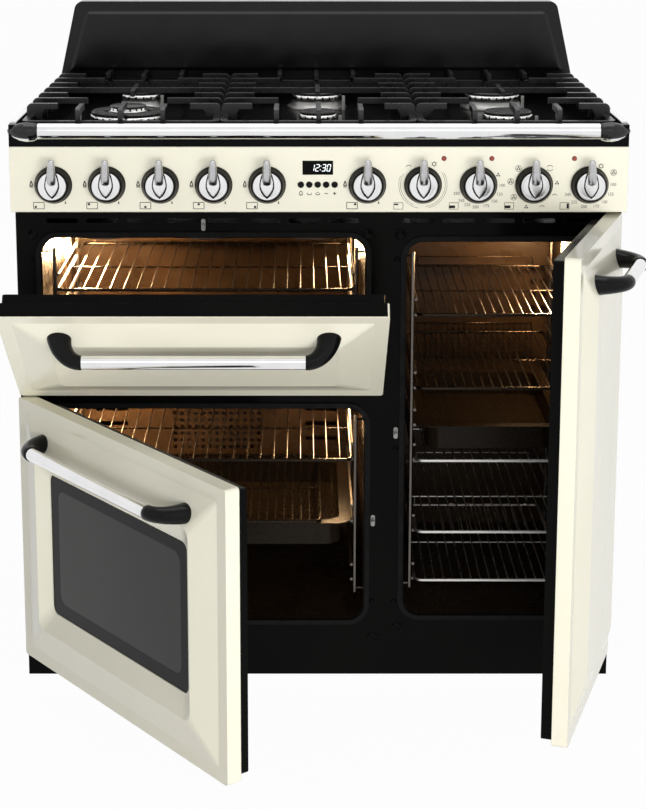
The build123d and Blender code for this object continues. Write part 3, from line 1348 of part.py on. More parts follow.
# Grill element: a bent heating rod under the roof of the grill oven, ending in the back wall
ELEMENT_Z = GRILL_CAVITY_Z1 - ELEMENT_DROP
with BuildPart() as heating_element:
    run_pitch = ELEMENT_W / (2 * ELEMENT_BENDS - 1)
    element_x0 = LEFT_MID - ELEMENT_W / 2
    corners = []
    for run in range(2 * ELEMENT_BENDS):
        x = element_x0 + run * run_pitch
        near = (x, Y_BACK_WALL - ELEMENT_RUN, ELEMENT_Z)
        is_end = run in (0, 2 * ELEMENT_BENDS - 1)
        far = (x, Y_BACK_WALL if is_end else Y_BACK_WALL - run_pitch, ELEMENT_Z)
        corners += [far, near] if run % 2 == 0 else [near, far]
    with BuildLine() as element_path:
        FilletPolyline(*corners, radius=run_pitch * ELEMENT_BEND_SHARE)
    with BuildSketch(Plane(origin=corners[0], z_dir=(0, -1, 0))):
        RegularPolygon(ELEMENT_R, ELEMENT_SIDES)
    sweep()
save(heating_element, "heating_element")
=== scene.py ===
import math

import bmesh
import bpy
from mathutils import Matrix, Vector


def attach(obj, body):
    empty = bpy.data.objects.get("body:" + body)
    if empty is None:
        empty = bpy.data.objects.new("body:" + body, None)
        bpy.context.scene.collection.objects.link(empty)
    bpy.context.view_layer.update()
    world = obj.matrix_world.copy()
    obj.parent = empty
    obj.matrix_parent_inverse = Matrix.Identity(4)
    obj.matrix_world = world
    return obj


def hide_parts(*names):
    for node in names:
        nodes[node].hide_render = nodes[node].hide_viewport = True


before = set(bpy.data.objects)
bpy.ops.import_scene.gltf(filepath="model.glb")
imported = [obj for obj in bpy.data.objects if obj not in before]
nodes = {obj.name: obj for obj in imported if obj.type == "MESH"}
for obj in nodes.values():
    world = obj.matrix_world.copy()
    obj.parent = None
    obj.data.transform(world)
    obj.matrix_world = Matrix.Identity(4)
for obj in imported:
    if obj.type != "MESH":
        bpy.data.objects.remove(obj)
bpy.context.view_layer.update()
scene = bpy.context.scene


# Studio floor and light.
# A pale floor runs out past the picture on every side, under a white room. A wide low screen and
# four soft boxes light the cooker; the screen itself stays out of the reflections.
FLOOR_CORNERS = [(-30, -30, 0), (30, -30, 0), (30, 40, 0), (-30, 40, 0)]
FLOOR_GLOW = 0.97
ROOM_FILL = 0.22
ROOM_SEEN = 1.0
CAMERA_DOWN = 11.57


def seen_directly(tree):
    """One for rays from the camera, through glass or off a gloss, and zero for scattered light."""
    path = tree.nodes.new("ShaderNodeLightPath")
    value = path.outputs["Is Camera Ray"]
    for kind in ("Is Transmission Ray", "Is Glossy Ray"):
        either = tree.nodes.new("ShaderNodeMath")
        either.operation = "MAXIMUM"
        tree.links.new(value, either.inputs[0])
        tree.links.new(path.outputs[kind], either.inputs[1])
        value = either.outputs[0]
    return value


floor_mesh = bpy.data.meshes.new("studio_floor")
floor_mesh.from_pydata(FLOOR_CORNERS, [], [(0, 1, 2, 3)])
floor = bpy.data.objects.new("studio_floor", floor_mesh)
scene.collection.objects.link(floor)

floor_paint = bpy.data.materials.new("studio_floor_paint")
floor_paint.use_nodes = True
tree = floor_paint.node_tree
matt = tree.nodes["Principled BSDF"]
matt.inputs["Base Color"].default_value = (0.9, 0.9, 0.9, 1)
matt.inputs["Roughness"].default_value = 0.9
glow = tree.nodes.new("ShaderNodeEmission")
glow.inputs["Strength"].default_value = 1.0
share = tree.nodes.new("ShaderNodeMath")
share.operation = "MULTIPLY"
share.inputs[1].default_value = FLOOR_GLOW
tree.links.new(seen_directly(tree), share.inputs[0])
blend = tree.nodes.new("ShaderNodeMixShader")
tree.links.new(share.outputs[0], blend.inputs["Fac"])
tree.links.new(matt.outputs["BSDF"], blend.inputs[1])
tree.links.new(glow.outputs["Emission"], blend.inputs[2])
tree.links.new(blend.outputs["Shader"], tree.nodes["Material Output"].inputs["Surface"])
floor.data.materials.append(floor_paint)

room = bpy.data.worlds.new("studio_room")
scene.world = room
room.use_nodes = True
tree = room.node_tree
backdrop = tree.nodes["Background"]
backdrop.inputs["Color"].default_value = (1, 1, 1, 1)
strength = tree.nodes.new("ShaderNodeMapRange")
strength.inputs["To Min"].default_value = ROOM_FILL
strength.inputs["To Max"].default_value = ROOM_SEEN
tree.links.new(seen_directly(tree), strength.inputs["Value"])
tree.links.new(strength.outputs["Result"], backdrop.inputs["Strength"])


def soft_box(name, place, aim, size, watts, mirrored=True):
    """A lit rectangle at a place, turned towards a point."""
    lamp = bpy.data.lights.new(name, "AREA")
    lamp.shape = "RECTANGLE"
    lamp.size, lamp.size_y = size
    lamp.energy = watts
    holder = bpy.data.objects.new(name, lamp)
    holder.location = place
    holder.rotation_euler = (Vector(aim) - Vector(place)).to_track_quat("-Z", "Y").to_euler()
    holder.visible_glossy = mirrored
    scene.collection.objects.link(holder)


soft_box("front_screen", (1.0, -4.2, 0.7), (0, -0.3, 0.6), (3.4, 1.2), 150, mirrored=False)
soft_box("soft_box_front", (0.4, -3.7, 2.5), (0, -0.2, 0.6), (2.6, 1.2), 6)
soft_box("soft_box_left", (-2.6, -2.2, 2.2), (0, -0.3, 0.5), (1.6, 2.0), 2)
soft_box("soft_box_right", (2.6, -2.0, 1.7), (0.1, -0.3, 0.5), (1.4, 1.8), 2)
soft_box("soft_box_top", (0.0, 0.2, 3.2), (0, 0, 0.8), (2.4, 1.6), 22)

lens = bpy.data.cameras.new("photo_camera")
lens.lens = 85.85
lens.sensor_width = 36
lens.shift_x = 0.0265
lens.shift_y = -0.2
camera = bpy.data.objects.new("photo_camera", lens)
camera.location = (-0.0251, -3.071, 1.291)
camera.rotation_euler = (math.radians(90 - CAMERA_DOWN), 0, 0)
scene.collection.objects.link(camera)
scene.camera = camera
scene.view_settings.view_transform = "Standard"


# Carcass: side panels, plinth and front frame.
# Pressed steel sheet under glossy black enamel, folded at the edges and screwed to the base.
# The enamel has a faint ripple from firing and a thin veil of dust that dulls it in patches.
def finish(name):
    """A new material, with its node tree and its shader."""
    material = bpy.data.materials.new(name)
    material.use_nodes = True
    shader = material.node_tree.nodes["Principled BSDF"]
    return material, material.node_tree, shader


def noise(tree, scale, detail=3.0):
    """Soft clouds fixed to the piece."""
    place = tree.nodes.new("ShaderNodeTexCoord")
    cloud = tree.nodes.new("ShaderNodeTexNoise")
    cloud.inputs["Scale"].default_value = scale
    cloud.inputs["Detail"].default_value = detail
    tree.links.new(place.outputs["Object"], cloud.inputs["Vector"])
    return cloud.outputs["Fac"]


def ramp(tree, value, low, high, start=0.3, end=0.7):
    """A colour that runs from one tone to another as a value rises."""
    colours = tree.nodes.new("ShaderNodeValToRGB")
    for element, spot, colour in zip(colours.color_ramp.elements, (start, end), (low, high)):
        element.position = spot
        element.color = (*colour, 1)
    tree.links.new(value, colours.inputs["Fac"])
    return colours.outputs["Color"]


def spread(tree, value, low, high):
    """The middle of a noise value, stretched over a range."""
    scaled = tree.nodes.new("ShaderNodeMapRange")
    scaled.inputs["From Min"].default_value = 0.3
    scaled.inputs["From Max"].default_value = 0.7
    scaled.inputs["To Min"].default_value = low
    scaled.inputs["To Max"].default_value = high
    tree.links.new(value, scaled.inputs["Value"])
    return scaled.outputs["Result"]


def ripple(tree, value, shader, height, strength=0.3, edge=0.0):
    """Bumps a surface by a value, and softens its sharp edges where an edge radius is given."""
    bump = tree.nodes.new("ShaderNodeBump")
    if edge:
        softened = tree.nodes.new("ShaderNodeBevel")
        softened.inputs["Radius"].default_value = edge
        tree.links.new(softened.outputs["Normal"], bump.inputs["Normal"])
    bump.inputs["Distance"].default_value = height
    bump.inputs["Strength"].default_value = strength
    tree.links.new(value, bump.inputs["Height"])
    tree.links.new(bump.outputs["Normal"], shader.inputs["Normal"])


def enamel(name, dark, light, rough, cloud=6.0, peel=260.0, height=0.00012, shine=0.5, edge=0.0, coat=0.0):
    """A coated surface: two tones in clouds, patchy gloss and a fine ripple."""
    material, tree, shader = finish(name)
    shader.inputs["Specular IOR Level"].default_value = shine
    tree.links.new(ramp(tree, noise(tree, cloud, detail=4.0), dark, light), shader.inputs["Base Color"])
    tree.links.new(spread(tree, noise(tree, cloud * 3, detail=5.0), *rough), shader.inputs["Roughness"])
    shader.inputs["Coat Weight"].default_value = coat
    shader.inputs["Coat Roughness"].default_value = 0.06
    ripple(tree, noise(tree, peel, detail=2.0), shader, height, edge=edge)
    return material


def dress(name, material):
    """Gives a solid of the frame its material."""
    piece = nodes[name]
    piece.data.materials.clear()
    piece.data.materials.append(material)


black_enamel = enamel(
    "black_enamel", (0.0012, 0.0012, 0.0012), (0.0026, 0.0024, 0.0021), (0.12, 0.24), shine=0.05
)
for name in ("side_panels", "plinth", "front_frame"):
    dress(name, black_enamel)


# Back panel and base tray.
# Bare galvanised sheet, stamped with cooling slots, with the flowery spangle of hot-dip zinc.
# They close the carcass behind and below.
def cells(tree, scale):
    """Cells fixed to the piece."""
    place = tree.nodes.new("ShaderNodeTexCoord")
    cell = tree.nodes.new("ShaderNodeTexVoronoi")
    cell.inputs["Scale"].default_value = scale
    tree.links.new(place.outputs["Object"], cell.inputs["Vector"])
    return cell.outputs


zinc_sheet, tree, shader = finish("zinc_sheet")
grains = ramp(tree, cells(tree, 110)["Color"], (0.47, 0.48, 0.49), (0.56, 0.57, 0.58), start=0.2, end=0.8)
tree.links.new(grains, shader.inputs["Base Color"])
shader.inputs["Metallic"].default_value = 1.0
tree.links.new(spread(tree, noise(tree, 40), 0.3, 0.48), shader.inputs["Roughness"])
ripple(tree, noise(tree, 30), shader, height=0.0004)
for name in ("back_panel", "base_plate"):
    dress(name, zinc_sheet)


# Feet.
# Black moulded nylon, matt with a fine grain.
# The feet screw up into the base tray.
nylon = enamel(
    "black_nylon", (0.005, 0.005, 0.005), (0.009, 0.009, 0.009), (0.3, 0.42),
    cloud=30, peel=900, height=0.0002, shine=0.22, edge=0.002,
)
dress("feet", nylon)


# Oven liners and the fan cover.
# Steel boxes under brown-black easy-clean enamel, freckled with paler specks, slightly glossy.
# They hang in the carcass behind the front frame.
oven_enamel, tree, shader = finish("oven_enamel")
patch = ramp(tree, noise(tree, 9, detail=5.0), (0.012, 0.0073, 0.0039), (0.025, 0.015, 0.0078))
specks = ramp(tree, cells(tree, 420)["Distance"], (0.16, 0.12, 0.08), (0, 0, 0), start=0.16, end=0.24)
mixed = tree.nodes.new("ShaderNodeMixRGB")
mixed.blend_type = "ADD"
mixed.inputs["Fac"].default_value = 0.06
tree.links.new(patch, mixed.inputs["Color1"])
tree.links.new(specks, mixed.inputs["Color2"])
tree.links.new(mixed.outputs["Color"], shader.inputs["Base Color"])
tree.links.new(spread(tree, noise(tree, 25), 0.2, 0.36), shader.inputs["Roughness"])
shader.inputs["Specular IOR Level"].default_value = 0.14
ripple(tree, noise(tree, 300), shader, height=0.00015)
for name in ("grill_cavity", "main_cavity", "tall_cavity", "fan_cover"):
    dress(name, oven_enamel)


# Oven lamps.
# Round pressed glass covers on the side walls, two in the grill and main ovens and one in the tall
# oven, each screwed over a warm bulb.
BULB_COLOUR = (1.0, 0.62, 0.3)
BULB_RADIUS = 0.02
BULB_BEFORE_WALL = 0.035
lamp_glass, tree, shader = finish("oven_lamp_glass")
warm = ramp(tree, noise(tree, 90), (1.0, 0.72, 0.4), (1.0, 0.85, 0.6), start=0.2, end=0.8)
tree.links.new(warm, shader.inputs["Base Color"])
tree.links.new(warm, shader.inputs["Emission Color"])
shader.inputs["Emission Strength"].default_value = 2.5
shader.inputs["Roughness"].default_value = 0.25


def meshed(name, made, material=None, smooth=False):
    """A mesh from a finished bmesh."""
    mesh = bpy.data.meshes.new(name)
    made.to_mesh(mesh)
    made.free()
    if material:
        mesh.materials.append(material)
    if smooth:
        for face in mesh.polygons:
            face.use_smooth = True
    return mesh


def stitch(made, loops):
    """Faces from each closed loop of points to the next; a loop of one point is a tip."""
    for low, high in zip(loops, loops[1:]):
        count = max(len(low), len(high))
        for step in range(count):
            nxt = (step + 1) % count
            if len(low) == 1:
                made.faces.new((low[0], high[step], high[nxt]))
            elif len(high) == 1:
                made.faces.new((low[step], low[nxt], high[0]))
            else:
                made.faces.new((low[step], low[nxt], high[nxt], high[step]))


def turned(name, rings, material, segments=40):
    """A mesh turned about local Z from (radius, height) pairs; a zero radius closes it."""
    made = bmesh.new()
    loops = []
    for radius, height in rings:
        if radius == 0:
            loops.append([made.verts.new((0, 0, height))])
            continue
        loop = []
        for step in range(segments):
            turn = 2 * math.pi * step / segments
            loop.append(made.verts.new((radius * math.cos(turn), radius * math.sin(turn), height)))
        loops.append(loop)
    stitch(made, loops)
    bmesh.ops.recalc_face_normals(made, faces=made.faces)
    return meshed(name, made, material, smooth=True)


def shown(name, data, body, at=(0, 0, 0), turn=(0, 0, 0)):
    """Puts a mesh or a curve into the scene as a piece that rides on a body."""
    piece = bpy.data.objects.new(name, data)
    scene.collection.objects.link(piece)
    piece.location = at
    piece.rotation_euler = turn
    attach(piece, body)
    return piece


def facing(along):
    """The turn that points a piece's Z axis along a direction."""
    return Vector(along).to_track_quat("Z", "Y").to_euler()


lamp_cover = [(0.024, 0), (0.024, 0.004), (0.021, 0.007), (0.019, 0.0065), (0.014, 0.0075), (0, 0.008)]
for name, at, along, watts in (
    ("grill_oven_lamp", (-0.412, 0.02, 0.655), (1, 0, 0), 16.0),
    ("grill_oven_lamp_right", (0.07, 0.02, 0.655), (-1, 0, 0), 1.4),
    ("main_oven_lamp_left", (-0.412, 0.03, 0.415), (1, 0, 0), 13.0),
    ("main_oven_lamp_right", (0.07, 0.03, 0.415), (-1, 0, 0), 2.2),
    ("tall_oven_lamp", (0.404, -0.02, 0.655), (-1, 0, 0), 7.0),
):
    shown(name, turned(name, lamp_cover, lamp_glass), "body", at, facing(along))
    bulb = bpy.data.lights.new(name + "_bulb", "POINT")
    bulb.color = BULB_COLOUR
    bulb.energy = watts
    bulb.shadow_soft_size = BULB_RADIUS
    holder = bpy.data.objects.new(name + "_bulb", bulb)
    holder.location = Vector(at) + Vector(along) * BULB_BEFORE_WALL
    scene.collection.objects.link(holder)


# Air holes of the ovens.
# The back of the tall oven is punched with a field of small holes and two columns of larger ones, and the
# left wall of the grill oven with upright slots. Each is a dark shape of painted shade on the liner's face,
# in place of the opening.
TALL_BACK_Y = 0.1562
GRILL_WALL_X = -0.4122
SLOT_FIRST_Y, SLOT_PITCH = -0.19, 0.05
SLOT_WIDE = 0.006
SLOT_LOW, SLOT_HIGH = 0.585, 0.612
holes = bmesh.new()
for rows, columns, x, z, across, up, radius, sides in (
    (8, 20, 0.188, 0.428, 0.0096, 0.0085, 0.0027, 8),
    (4, 2, 0.372, 0.515, 0.017, 0.024, 0.0058, 16),
):
    turns = [2 * math.pi * i / sides for i in range(sides)]
    for row in range(rows):
        for column in range(columns):
            spot = Vector((x + across * column, TALL_BACK_Y, z + up * row))
            rim = [spot + radius * Vector((math.cos(t), 0, math.sin(t))) for t in turns]
            holes.faces.new([holes.verts.new(point) for point in rim])
for slot in range(6):
    y = SLOT_FIRST_Y + SLOT_PITCH * slot
    corners = ((y, SLOT_LOW), (y + SLOT_WIDE, SLOT_LOW), (y + SLOT_WIDE, SLOT_HIGH), (y, SLOT_HIGH))
    holes.faces.new([holes.verts.new((GRILL_WALL_X, a, b)) for a, b in corners])
# Painted shade: the near-black of the openings.
hole_shade = enamel(
    "air_hole", (0.0004, 0.0003, 0.0003), (0.001, 0.0008, 0.0007), (0.6, 0.8), cloud=60, shine=0.05
)
shown("oven_air_holes", meshed("oven_air_holes", holes, hole_shade), "body")


# Pressings and screws of the front frame.
# Shallow round embossings stiffen the corners of the frame, and round-headed screws hold it to the
# sides. Both carry the black of the frame.
FRAME_FACE = -0.256
embossing = [(0.0088, 0), (0.0082, 0.0008), (0.0068, 0.0013), (0.0054, 0.0008), (0.0046, 0.0003), (0, 0.0003)]
embossing_places = (
    (-0.426, 0.728), (0.0746, 0.728), (0.1224, 0.728), (0.428, 0.728), (0.085, 0.088), (0.1225, 0.105),
)
screw_head = [(0.0042, 0), (0.004, 0.0012), (0.0026, 0.0019), (0.0012, 0.002), (0.001, 0.0012), (0, 0.0012)]
screw_places = (
    (0.1172, 0.69), (0.1172, 0.395), (0.1172, 0.148), (0.083, 0.148), (-0.428, 0.69), (0.428, 0.148),
)
for kind, outline, places in (
    ("embossing", embossing, embossing_places),
    ("screw", screw_head, screw_places),
):
    for number, (x, z) in enumerate(places, start=1):
        name = f"frame_{kind}_{number}"
        pressed = turned(name, outline, black_enamel)
        shown(name, pressed, "body", (x, FRAME_FACE, z), facing((0, -1, 0)))


# Door seals.
# Black moulded rubber rings, dull and slightly dusty.
# They are pushed onto the frame round each opening.
seal_rubber = enamel(
    "seal_rubber", (0.0025, 0.0025, 0.0025), (0.005, 0.005, 0.005), (0.5, 0.7),
    cloud=40, peel=600, height=0.0003, shine=0.12,
)
dress("door_seals", seal_rubber)


# Bright work: bars and trims, runners, hinge arms and catches, pipe, element and fan.
# Chrome plate on the bars and trims, with the faint haze and streaks that wiping leaves; duller
# zinc plate and heat-stained steel on the fittings, which are screwed or hooked in place.
HAZE_TONE = 0.93


def plate(name, tint, rough, streak=30.0):
    """A metal surface with a slight haze and streaks."""
    material, tree, shader = finish(name)
    hazed = tuple(v * HAZE_TONE for v in tint)
    tree.links.new(ramp(tree, noise(tree, streak, detail=4.0), hazed, tint), shader.inputs["Base Color"])
    tree.links.new(spread(tree, noise(tree, streak * 4), *rough), shader.inputs["Roughness"])
    shader.inputs["Metallic"].default_value = 1.0
    ripple(tree, noise(tree, 120), shader, height=0.00004, strength=0.2)
    return material


chrome = plate("chrome_plate", (0.82, 0.82, 0.83), (0.05, 0.14))
steel = plate("zinc_plated_steel", (0.3, 0.3, 0.29), (0.25, 0.4), streak=60)
hot_steel = plate("heat_stained_steel", (0.22, 0.19, 0.17), (0.35, 0.5), streak=50)
for name in ("hob_edge_trims", "grill_handle_bar", "main_handle_bar", "tall_handle_bar"):
    dress(name, chrome)
dress("runner_ladders", plate("runner_wire", (0.15, 0.135, 0.12), (0.25, 0.4), streak=80))
for name in ("door_fittings", "gas_supply_pipe"):
    dress(name, steel)
for name in ("heating_element", "fan_impeller"):
    dress(name, hot_steel)


# Wire racks.
# Steel wire: a bent rail, fore-and-aft wires welded under it and, but for the one in the roasting pan, a
# raised stop at the back. The racks lie on the ladders. Those near the oven lamps are dark brown, partly heat
# browning and partly painted shade that dims their glints; the low ones of the tall oven are bright.
RACK_FRONT = -0.236
RAIL_THICK = 0.005
ROD_THICK = 0.0024
RAIL_BEND = 0.014
ROD_INSET = 0.017
ROD_DROP = 0.001
CROSS_DROP = 0.003
STOP_INSET = 0.02
WIDE_RACK = (-0.3934, 0.0514)
TALL_RACK = (0.1506, 0.3854)
PAN_INSERT = (-0.346, 0.004)
wire_chrome = plate("chrome_wire", (0.72, 0.7, 0.67), (0.3, 0.45), streak=80)
# Dark brown wire: partly heat browning, partly painted shade that dims the lamps' glints.
browned_and_shaded = plate("heat_browned_and_shaded_wire", (0.028, 0.022, 0.016), (0.22, 0.36), streak=80)


def rounded(corners, radius, steps=6):
    """Points along a closed run of corners with each corner turned on a radius."""
    path = []
    count = len(corners)
    for i, corner in enumerate(corners):
        here = Vector(corner)
        back = (Vector(corners[i - 1]) - here).normalized()
        ahead = (Vector(corners[(i + 1) % count]) - here).normalized()
        start, end = here + back * radius, here + ahead * radius
        for step in range(steps + 1):
            t = step / steps
            path.append(start.lerp(here, t).lerp(here.lerp(end, t), t))
    return path


def wires(name, runs, thickness, material):
    """Round wires along runs of points; a run marked closed joins its ends."""
    line = bpy.data.curves.new(name, "CURVE")
    line.dimensions = "3D"
    line.bevel_depth = thickness / 2
    line.bevel_resolution = 3
    line.use_fill_caps = True
    for points, closed in runs:
        spline = line.splines.new("POLY")
        spline.points.add(len(points) - 1)
        for point, at in zip(spline.points, points):
            point.co = (*at, 1)
        spline.use_cyclic_u = closed
    line.materials.append(material)
    return shown(name, line, "body")


def rack(ends, z, count, long=0.35, stop=0.016):
    """The rail of one rack, and its rods with the cross wire and the stop."""
    x0, x1 = ends
    y0, y1 = RACK_FRONT, RACK_FRONT + long
    rail = (rounded([(x1, y0, z), (x1, y1, z), (x0, y1, z), (x0, y0, z)], RAIL_BEND), True)
    rods = []
    for i in range(count):
        x = x0 + ROD_INSET + (x1 - x0 - 2 * ROD_INSET) * i / (count - 1)
        rods.append(([(x, y0, z - ROD_DROP), (x, y1, z - ROD_DROP)], False))
    middle = y0 + long / 2
    rods.append(([(x0, middle, z - CROSS_DROP), (x1, middle, z - CROSS_DROP)], False))
    if stop:
        a, b = x0 + STOP_INSET, x1 - STOP_INSET
        rods.append(([(a, y1, z), (a, y1, z + stop), (b, y1, z + stop), (b, y1, z)], False))
    return rail, rods


browned_and_shaded_racks = [
    rack(WIDE_RACK, 0.638, 21),
    rack(WIDE_RACK, 0.370, 21),
    rack(PAN_INSERT, 0.271, 25, long=0.33, stop=0),
    rack(TALL_RACK, 0.484, 15),
    rack(TALL_RACK, 0.599, 15),
]
bright_racks = [rack(TALL_RACK, z, 15) for z in (0.175, 0.254, 0.369)]
for tone, material, racks in (("browned_and_shaded", browned_and_shaded, browned_and_shaded_racks), ("bright", wire_chrome, bright_racks)):
    rails = wires(f"{tone}_rack_rails", [rail for rail, _ in racks], RAIL_THICK, material)
    wires(f"{tone}_rack_rods", [rod for _, rods in racks for rod in rods], ROD_THICK, material)
    if tone == "browned_and_shaded":
        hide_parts("oven_racks")


# Roasting pan and baking tray.
# Deep-drawn steel trays under dark brown enamel, finely mottled and slightly glossy.
# The pan and the tray slide in on the ladders like the racks.
pan_enamel = enamel(
    "pan_enamel", (0.006, 0.004, 0.0025), (0.013, 0.009, 0.0055), (0.2, 0.34), cloud=240, peel=300, shine=0.1
)
dress("oven_pans", pan_enamel)


# Doors and control panel.
# Deep-drawn steel skins under glossy cream enamel, with a flat rim and a raised field, over inner
# panels in black enamel. The control panel is folded from sheet under the same cream.
cream_enamel = enamel(
    "cream_enamel", (0.765, 0.738, 0.6), (0.8, 0.772, 0.64), (0.12, 0.2), cloud=5.0, edge=0.0012, coat=0.1
)
for name in ("grill_door_skin", "main_door_skin", "tall_door_skin", "control_panel"):
    dress(name, cream_enamel)
for name in ("grill_door_liner", "main_door_liner", "tall_door_liner"):
    dress(name, black_enamel)


# Top strip of the grill door.
# The black band along the top edge of the drop-down door, taken to be a thin enamelled strip
# that covers the fold of its skin. It is made on the closed door and turned with it.
GRILL_HINGE = (0, -0.288, 0.502)
GRILL_OPEN = 51
STRIP_SIZE = (0.5365, 0.0205, 0.0006)
STRIP_MIDDLE = (-0.17475, -0.2865, 0.7652)


def opened(hinge, degrees, axis):
    """The turn of a door about its hinge line, from closed to the pose at rest."""
    turn = Matrix.Rotation(math.radians(degrees), 4, axis)
    return Matrix.Translation(hinge) @ turn @ Matrix.Translation(-Vector(hinge))


tilt = opened(GRILL_HINGE, GRILL_OPEN, "X")
cover = bmesh.new()
bmesh.ops.create_cube(cover, size=1.0)
bmesh.ops.scale(cover, vec=STRIP_SIZE, verts=cover.verts)
bmesh.ops.translate(cover, vec=STRIP_MIDDLE, verts=cover.verts)
bmesh.ops.transform(cover, matrix=tilt, verts=cover.verts)
strip = meshed("grill_door_top_strip", cover, black_enamel)
shown("grill_door_top_strip", strip, "grill_door")


# Main door glass.
# Two panes of dark tinted glass with a faint waviness.
# One lies behind the bevel of the skin and one on the inner panel.
door_glass, tree, shader = finish("door_glass")
tint = ramp(tree, noise(tree, 4, detail=2.0), (0.006, 0.0075, 0.0055), (0.013, 0.0155, 0.0115))
tree.links.new(tint, shader.inputs["Base Color"])
shader.inputs["Roughness"].default_value = 0.03
shader.inputs["IOR"].default_value = 1.5
shader.inputs["Specular IOR Level"].default_value = 0.23
ripple(tree, noise(tree, 3), shader, height=0.0004, strength=0.15)
dress("main_door_glass", door_glass)


# Window border.
# A band of black ceramic print, fired onto the outer pane round its edge.
# It is laid out from the foot of the closed door on its hinge side, and turned with the door.
MAIN_HINGE = (-0.434, -0.288, 0)
MAIN_OPEN = -53
DOOR_CORNER = Vector((-0.446, -0.26, 0.075))
WINDOW_MIDDLE = (0.27125, 0.205)
WINDOW_HALF = (0.1824, 0.108)
PANE_OUT = 0.0372
BORDER_WIDE = 0.02
swing = opened(MAIN_HINGE, MAIN_OPEN, "Z")


def window_loop(inset, radius, steps=7):
    """A rounded loop round the main door's window, drawn in by an inset, on the open door."""
    half_u, half_v = WINDOW_HALF[0] - inset, WINDOW_HALF[1] - inset
    loop = []
    for side_u, side_v, start in ((1, 1, 0), (-1, 1, 90), (-1, -1, 180), (1, -1, 270)):
        for step in range(steps + 1):
            turn = math.radians(start + 90 * step / steps)
            u = WINDOW_MIDDLE[0] + side_u * (half_u - radius) + radius * math.cos(turn)
            v = WINDOW_MIDDLE[1] + side_v * (half_v - radius) + radius * math.sin(turn)
            loop.append(swing @ (DOOR_CORNER + Vector((u, -PANE_OUT, v))))
    return loop


border = bmesh.new()
outer = [border.verts.new(point) for point in window_loop(0.0, 0.012)]
inner = [border.verts.new(point) for point in window_loop(BORDER_WIDE, 0.016)]
stitch(border, [outer, inner])
ceramic_print = enamel(
    "ceramic_print", (0.006, 0.006, 0.006), (0.01, 0.01, 0.01), (0.04, 0.08), cloud=30, shine=0.1
)
shown("window_border", meshed("window_border", border, ceramic_print), "main_door")


# Handle brackets.
# Moulded elbows in glossy black resin: each sweeps out from a broad oval foot on the door to the end
# of the bar, narrowing as it turns, and is screwed on from inside the door.
TALL_HINGE = (0.434, -0.288, 0)
TALL_OPEN = 72
FOOT_Y = -0.296
FOOT_SUNK = 0.004
FOOT_HALF = (0.0185, 0.0145)
FOOT_FLARE = 1.2
BEND_BULGE = 0.001
BAR_OUT = 0.047
BAR_REACH = 0.033
TIP_HALF = 0.0105
open_tall = opened(TALL_HINGE, TALL_OPEN, "Z")
resin = enamel(
    "black_resin", (0.003, 0.003, 0.003), (0.005, 0.005, 0.005), (0.07, 0.13),
    cloud=20, peel=400, height=0.00008, shine=0.12, edge=0.0025,
)


def elbow(made, across, up, side, turn, steps=18, around=28):
    """One bracket, swept from its foot through a quarter turn to the bar, on a door turned from closed."""
    rise = BAR_OUT - FOOT_SUNK
    loops = []
    for step in range(steps + 1):
        bend = math.pi / 2 * step / steps
        along = BAR_REACH * (1 - math.cos(bend))
        out = FOOT_SUNK + rise * math.sin(bend)
        ahead = Vector((BAR_REACH * math.sin(bend), rise * math.cos(bend))).normalized()
        swell = (1 - math.sin(bend)) ** FOOT_FLARE
        half_in = TIP_HALF + BEND_BULGE * math.sin(2 * bend) + (FOOT_HALF[0] - TIP_HALF) * swell
        half_up = TIP_HALF + (FOOT_HALF[1] - TIP_HALF) * swell
        loop = []
        for corner in range(around):
            angle = 2 * math.pi * corner / around
            inward = half_in * math.cos(angle)
            x = along + inward * ahead.y
            y = out - inward * ahead.x
            point = Vector((across + side * x, FOOT_Y - y, up + half_up * math.sin(angle)))
            loop.append(made.verts.new(turn @ point))
        loops.append(loop)
    stitch(made, loops)
    made.faces.new(loops[0])
    made.faces.new(loops[-1])


for door, ends, up, turn in (
    ("grill", (-0.363, 0.0135), 0.713, tilt),
    ("main", (-0.363, 0.0135), 0.433, swing),
    ("tall", (0.1825, 0.363), 0.713, open_tall),
):
    made = bmesh.new()
    for across, side in zip(ends, (1, -1)):
        elbow(made, across, up, side, turn)
    bmesh.ops.recalc_face_normals(made, faces=made.faces)
    elbow_mesh = meshed(f"{door}_handle_elbows", made, resin)
    for face in elbow_mesh.polygons:
        face.use_smooth = len(face.vertices) == 4
    elbows = shown(f"{door}_handle_elbows", elbow_mesh, f"{door}_door")
    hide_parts(f"{door}_handle_brackets")


# Clock.
# A black module behind the panel with a smoked window, a white lit display and five round keys.
# The slanted strokes of its digits are drawn in small units from the middle of the window.
WINDOW_FACE = -0.3008
DISPLAY_X, DISPLAY_Z = 0.0008, 0.835
DIGIT_UNITS_WIDE, DIGIT_UNITS_HIGH = 1130, 1250
DIGIT_SLANT = 0.16
BAR_WIDE = 1.3
smoked = enamel(
    "smoked_window", (0.002, 0.002, 0.002), (0.004, 0.004, 0.004), (0.05, 0.1), cloud=20, shine=0.05
)
dress("clock_module", smoked)
for number in range(1, 6):
    dress(f"clock_button_{number}", resin)
display, tree, shader = finish("clock_display")
lit = ramp(tree, noise(tree, 500), (0.72, 0.76, 0.78), (0.86, 0.88, 0.9))
tree.links.new(lit, shader.inputs["Emission Color"])
tree.links.new(lit, shader.inputs["Base Color"])
shader.inputs["Emission Strength"].default_value = 0.7


def bar(start, end, half):
    """The four corners of a straight stroke between two points, with half its width to each side."""
    (a, b), (c, d) = start, end
    length = math.hypot(c - a, d - b)
    nx, nz = -(d - b) / length * half, (c - a) / length * half
    return [(a + nx, b + nz), (a - nx, b - nz), (c - nx, d - nz), (c + nx, d + nz)]


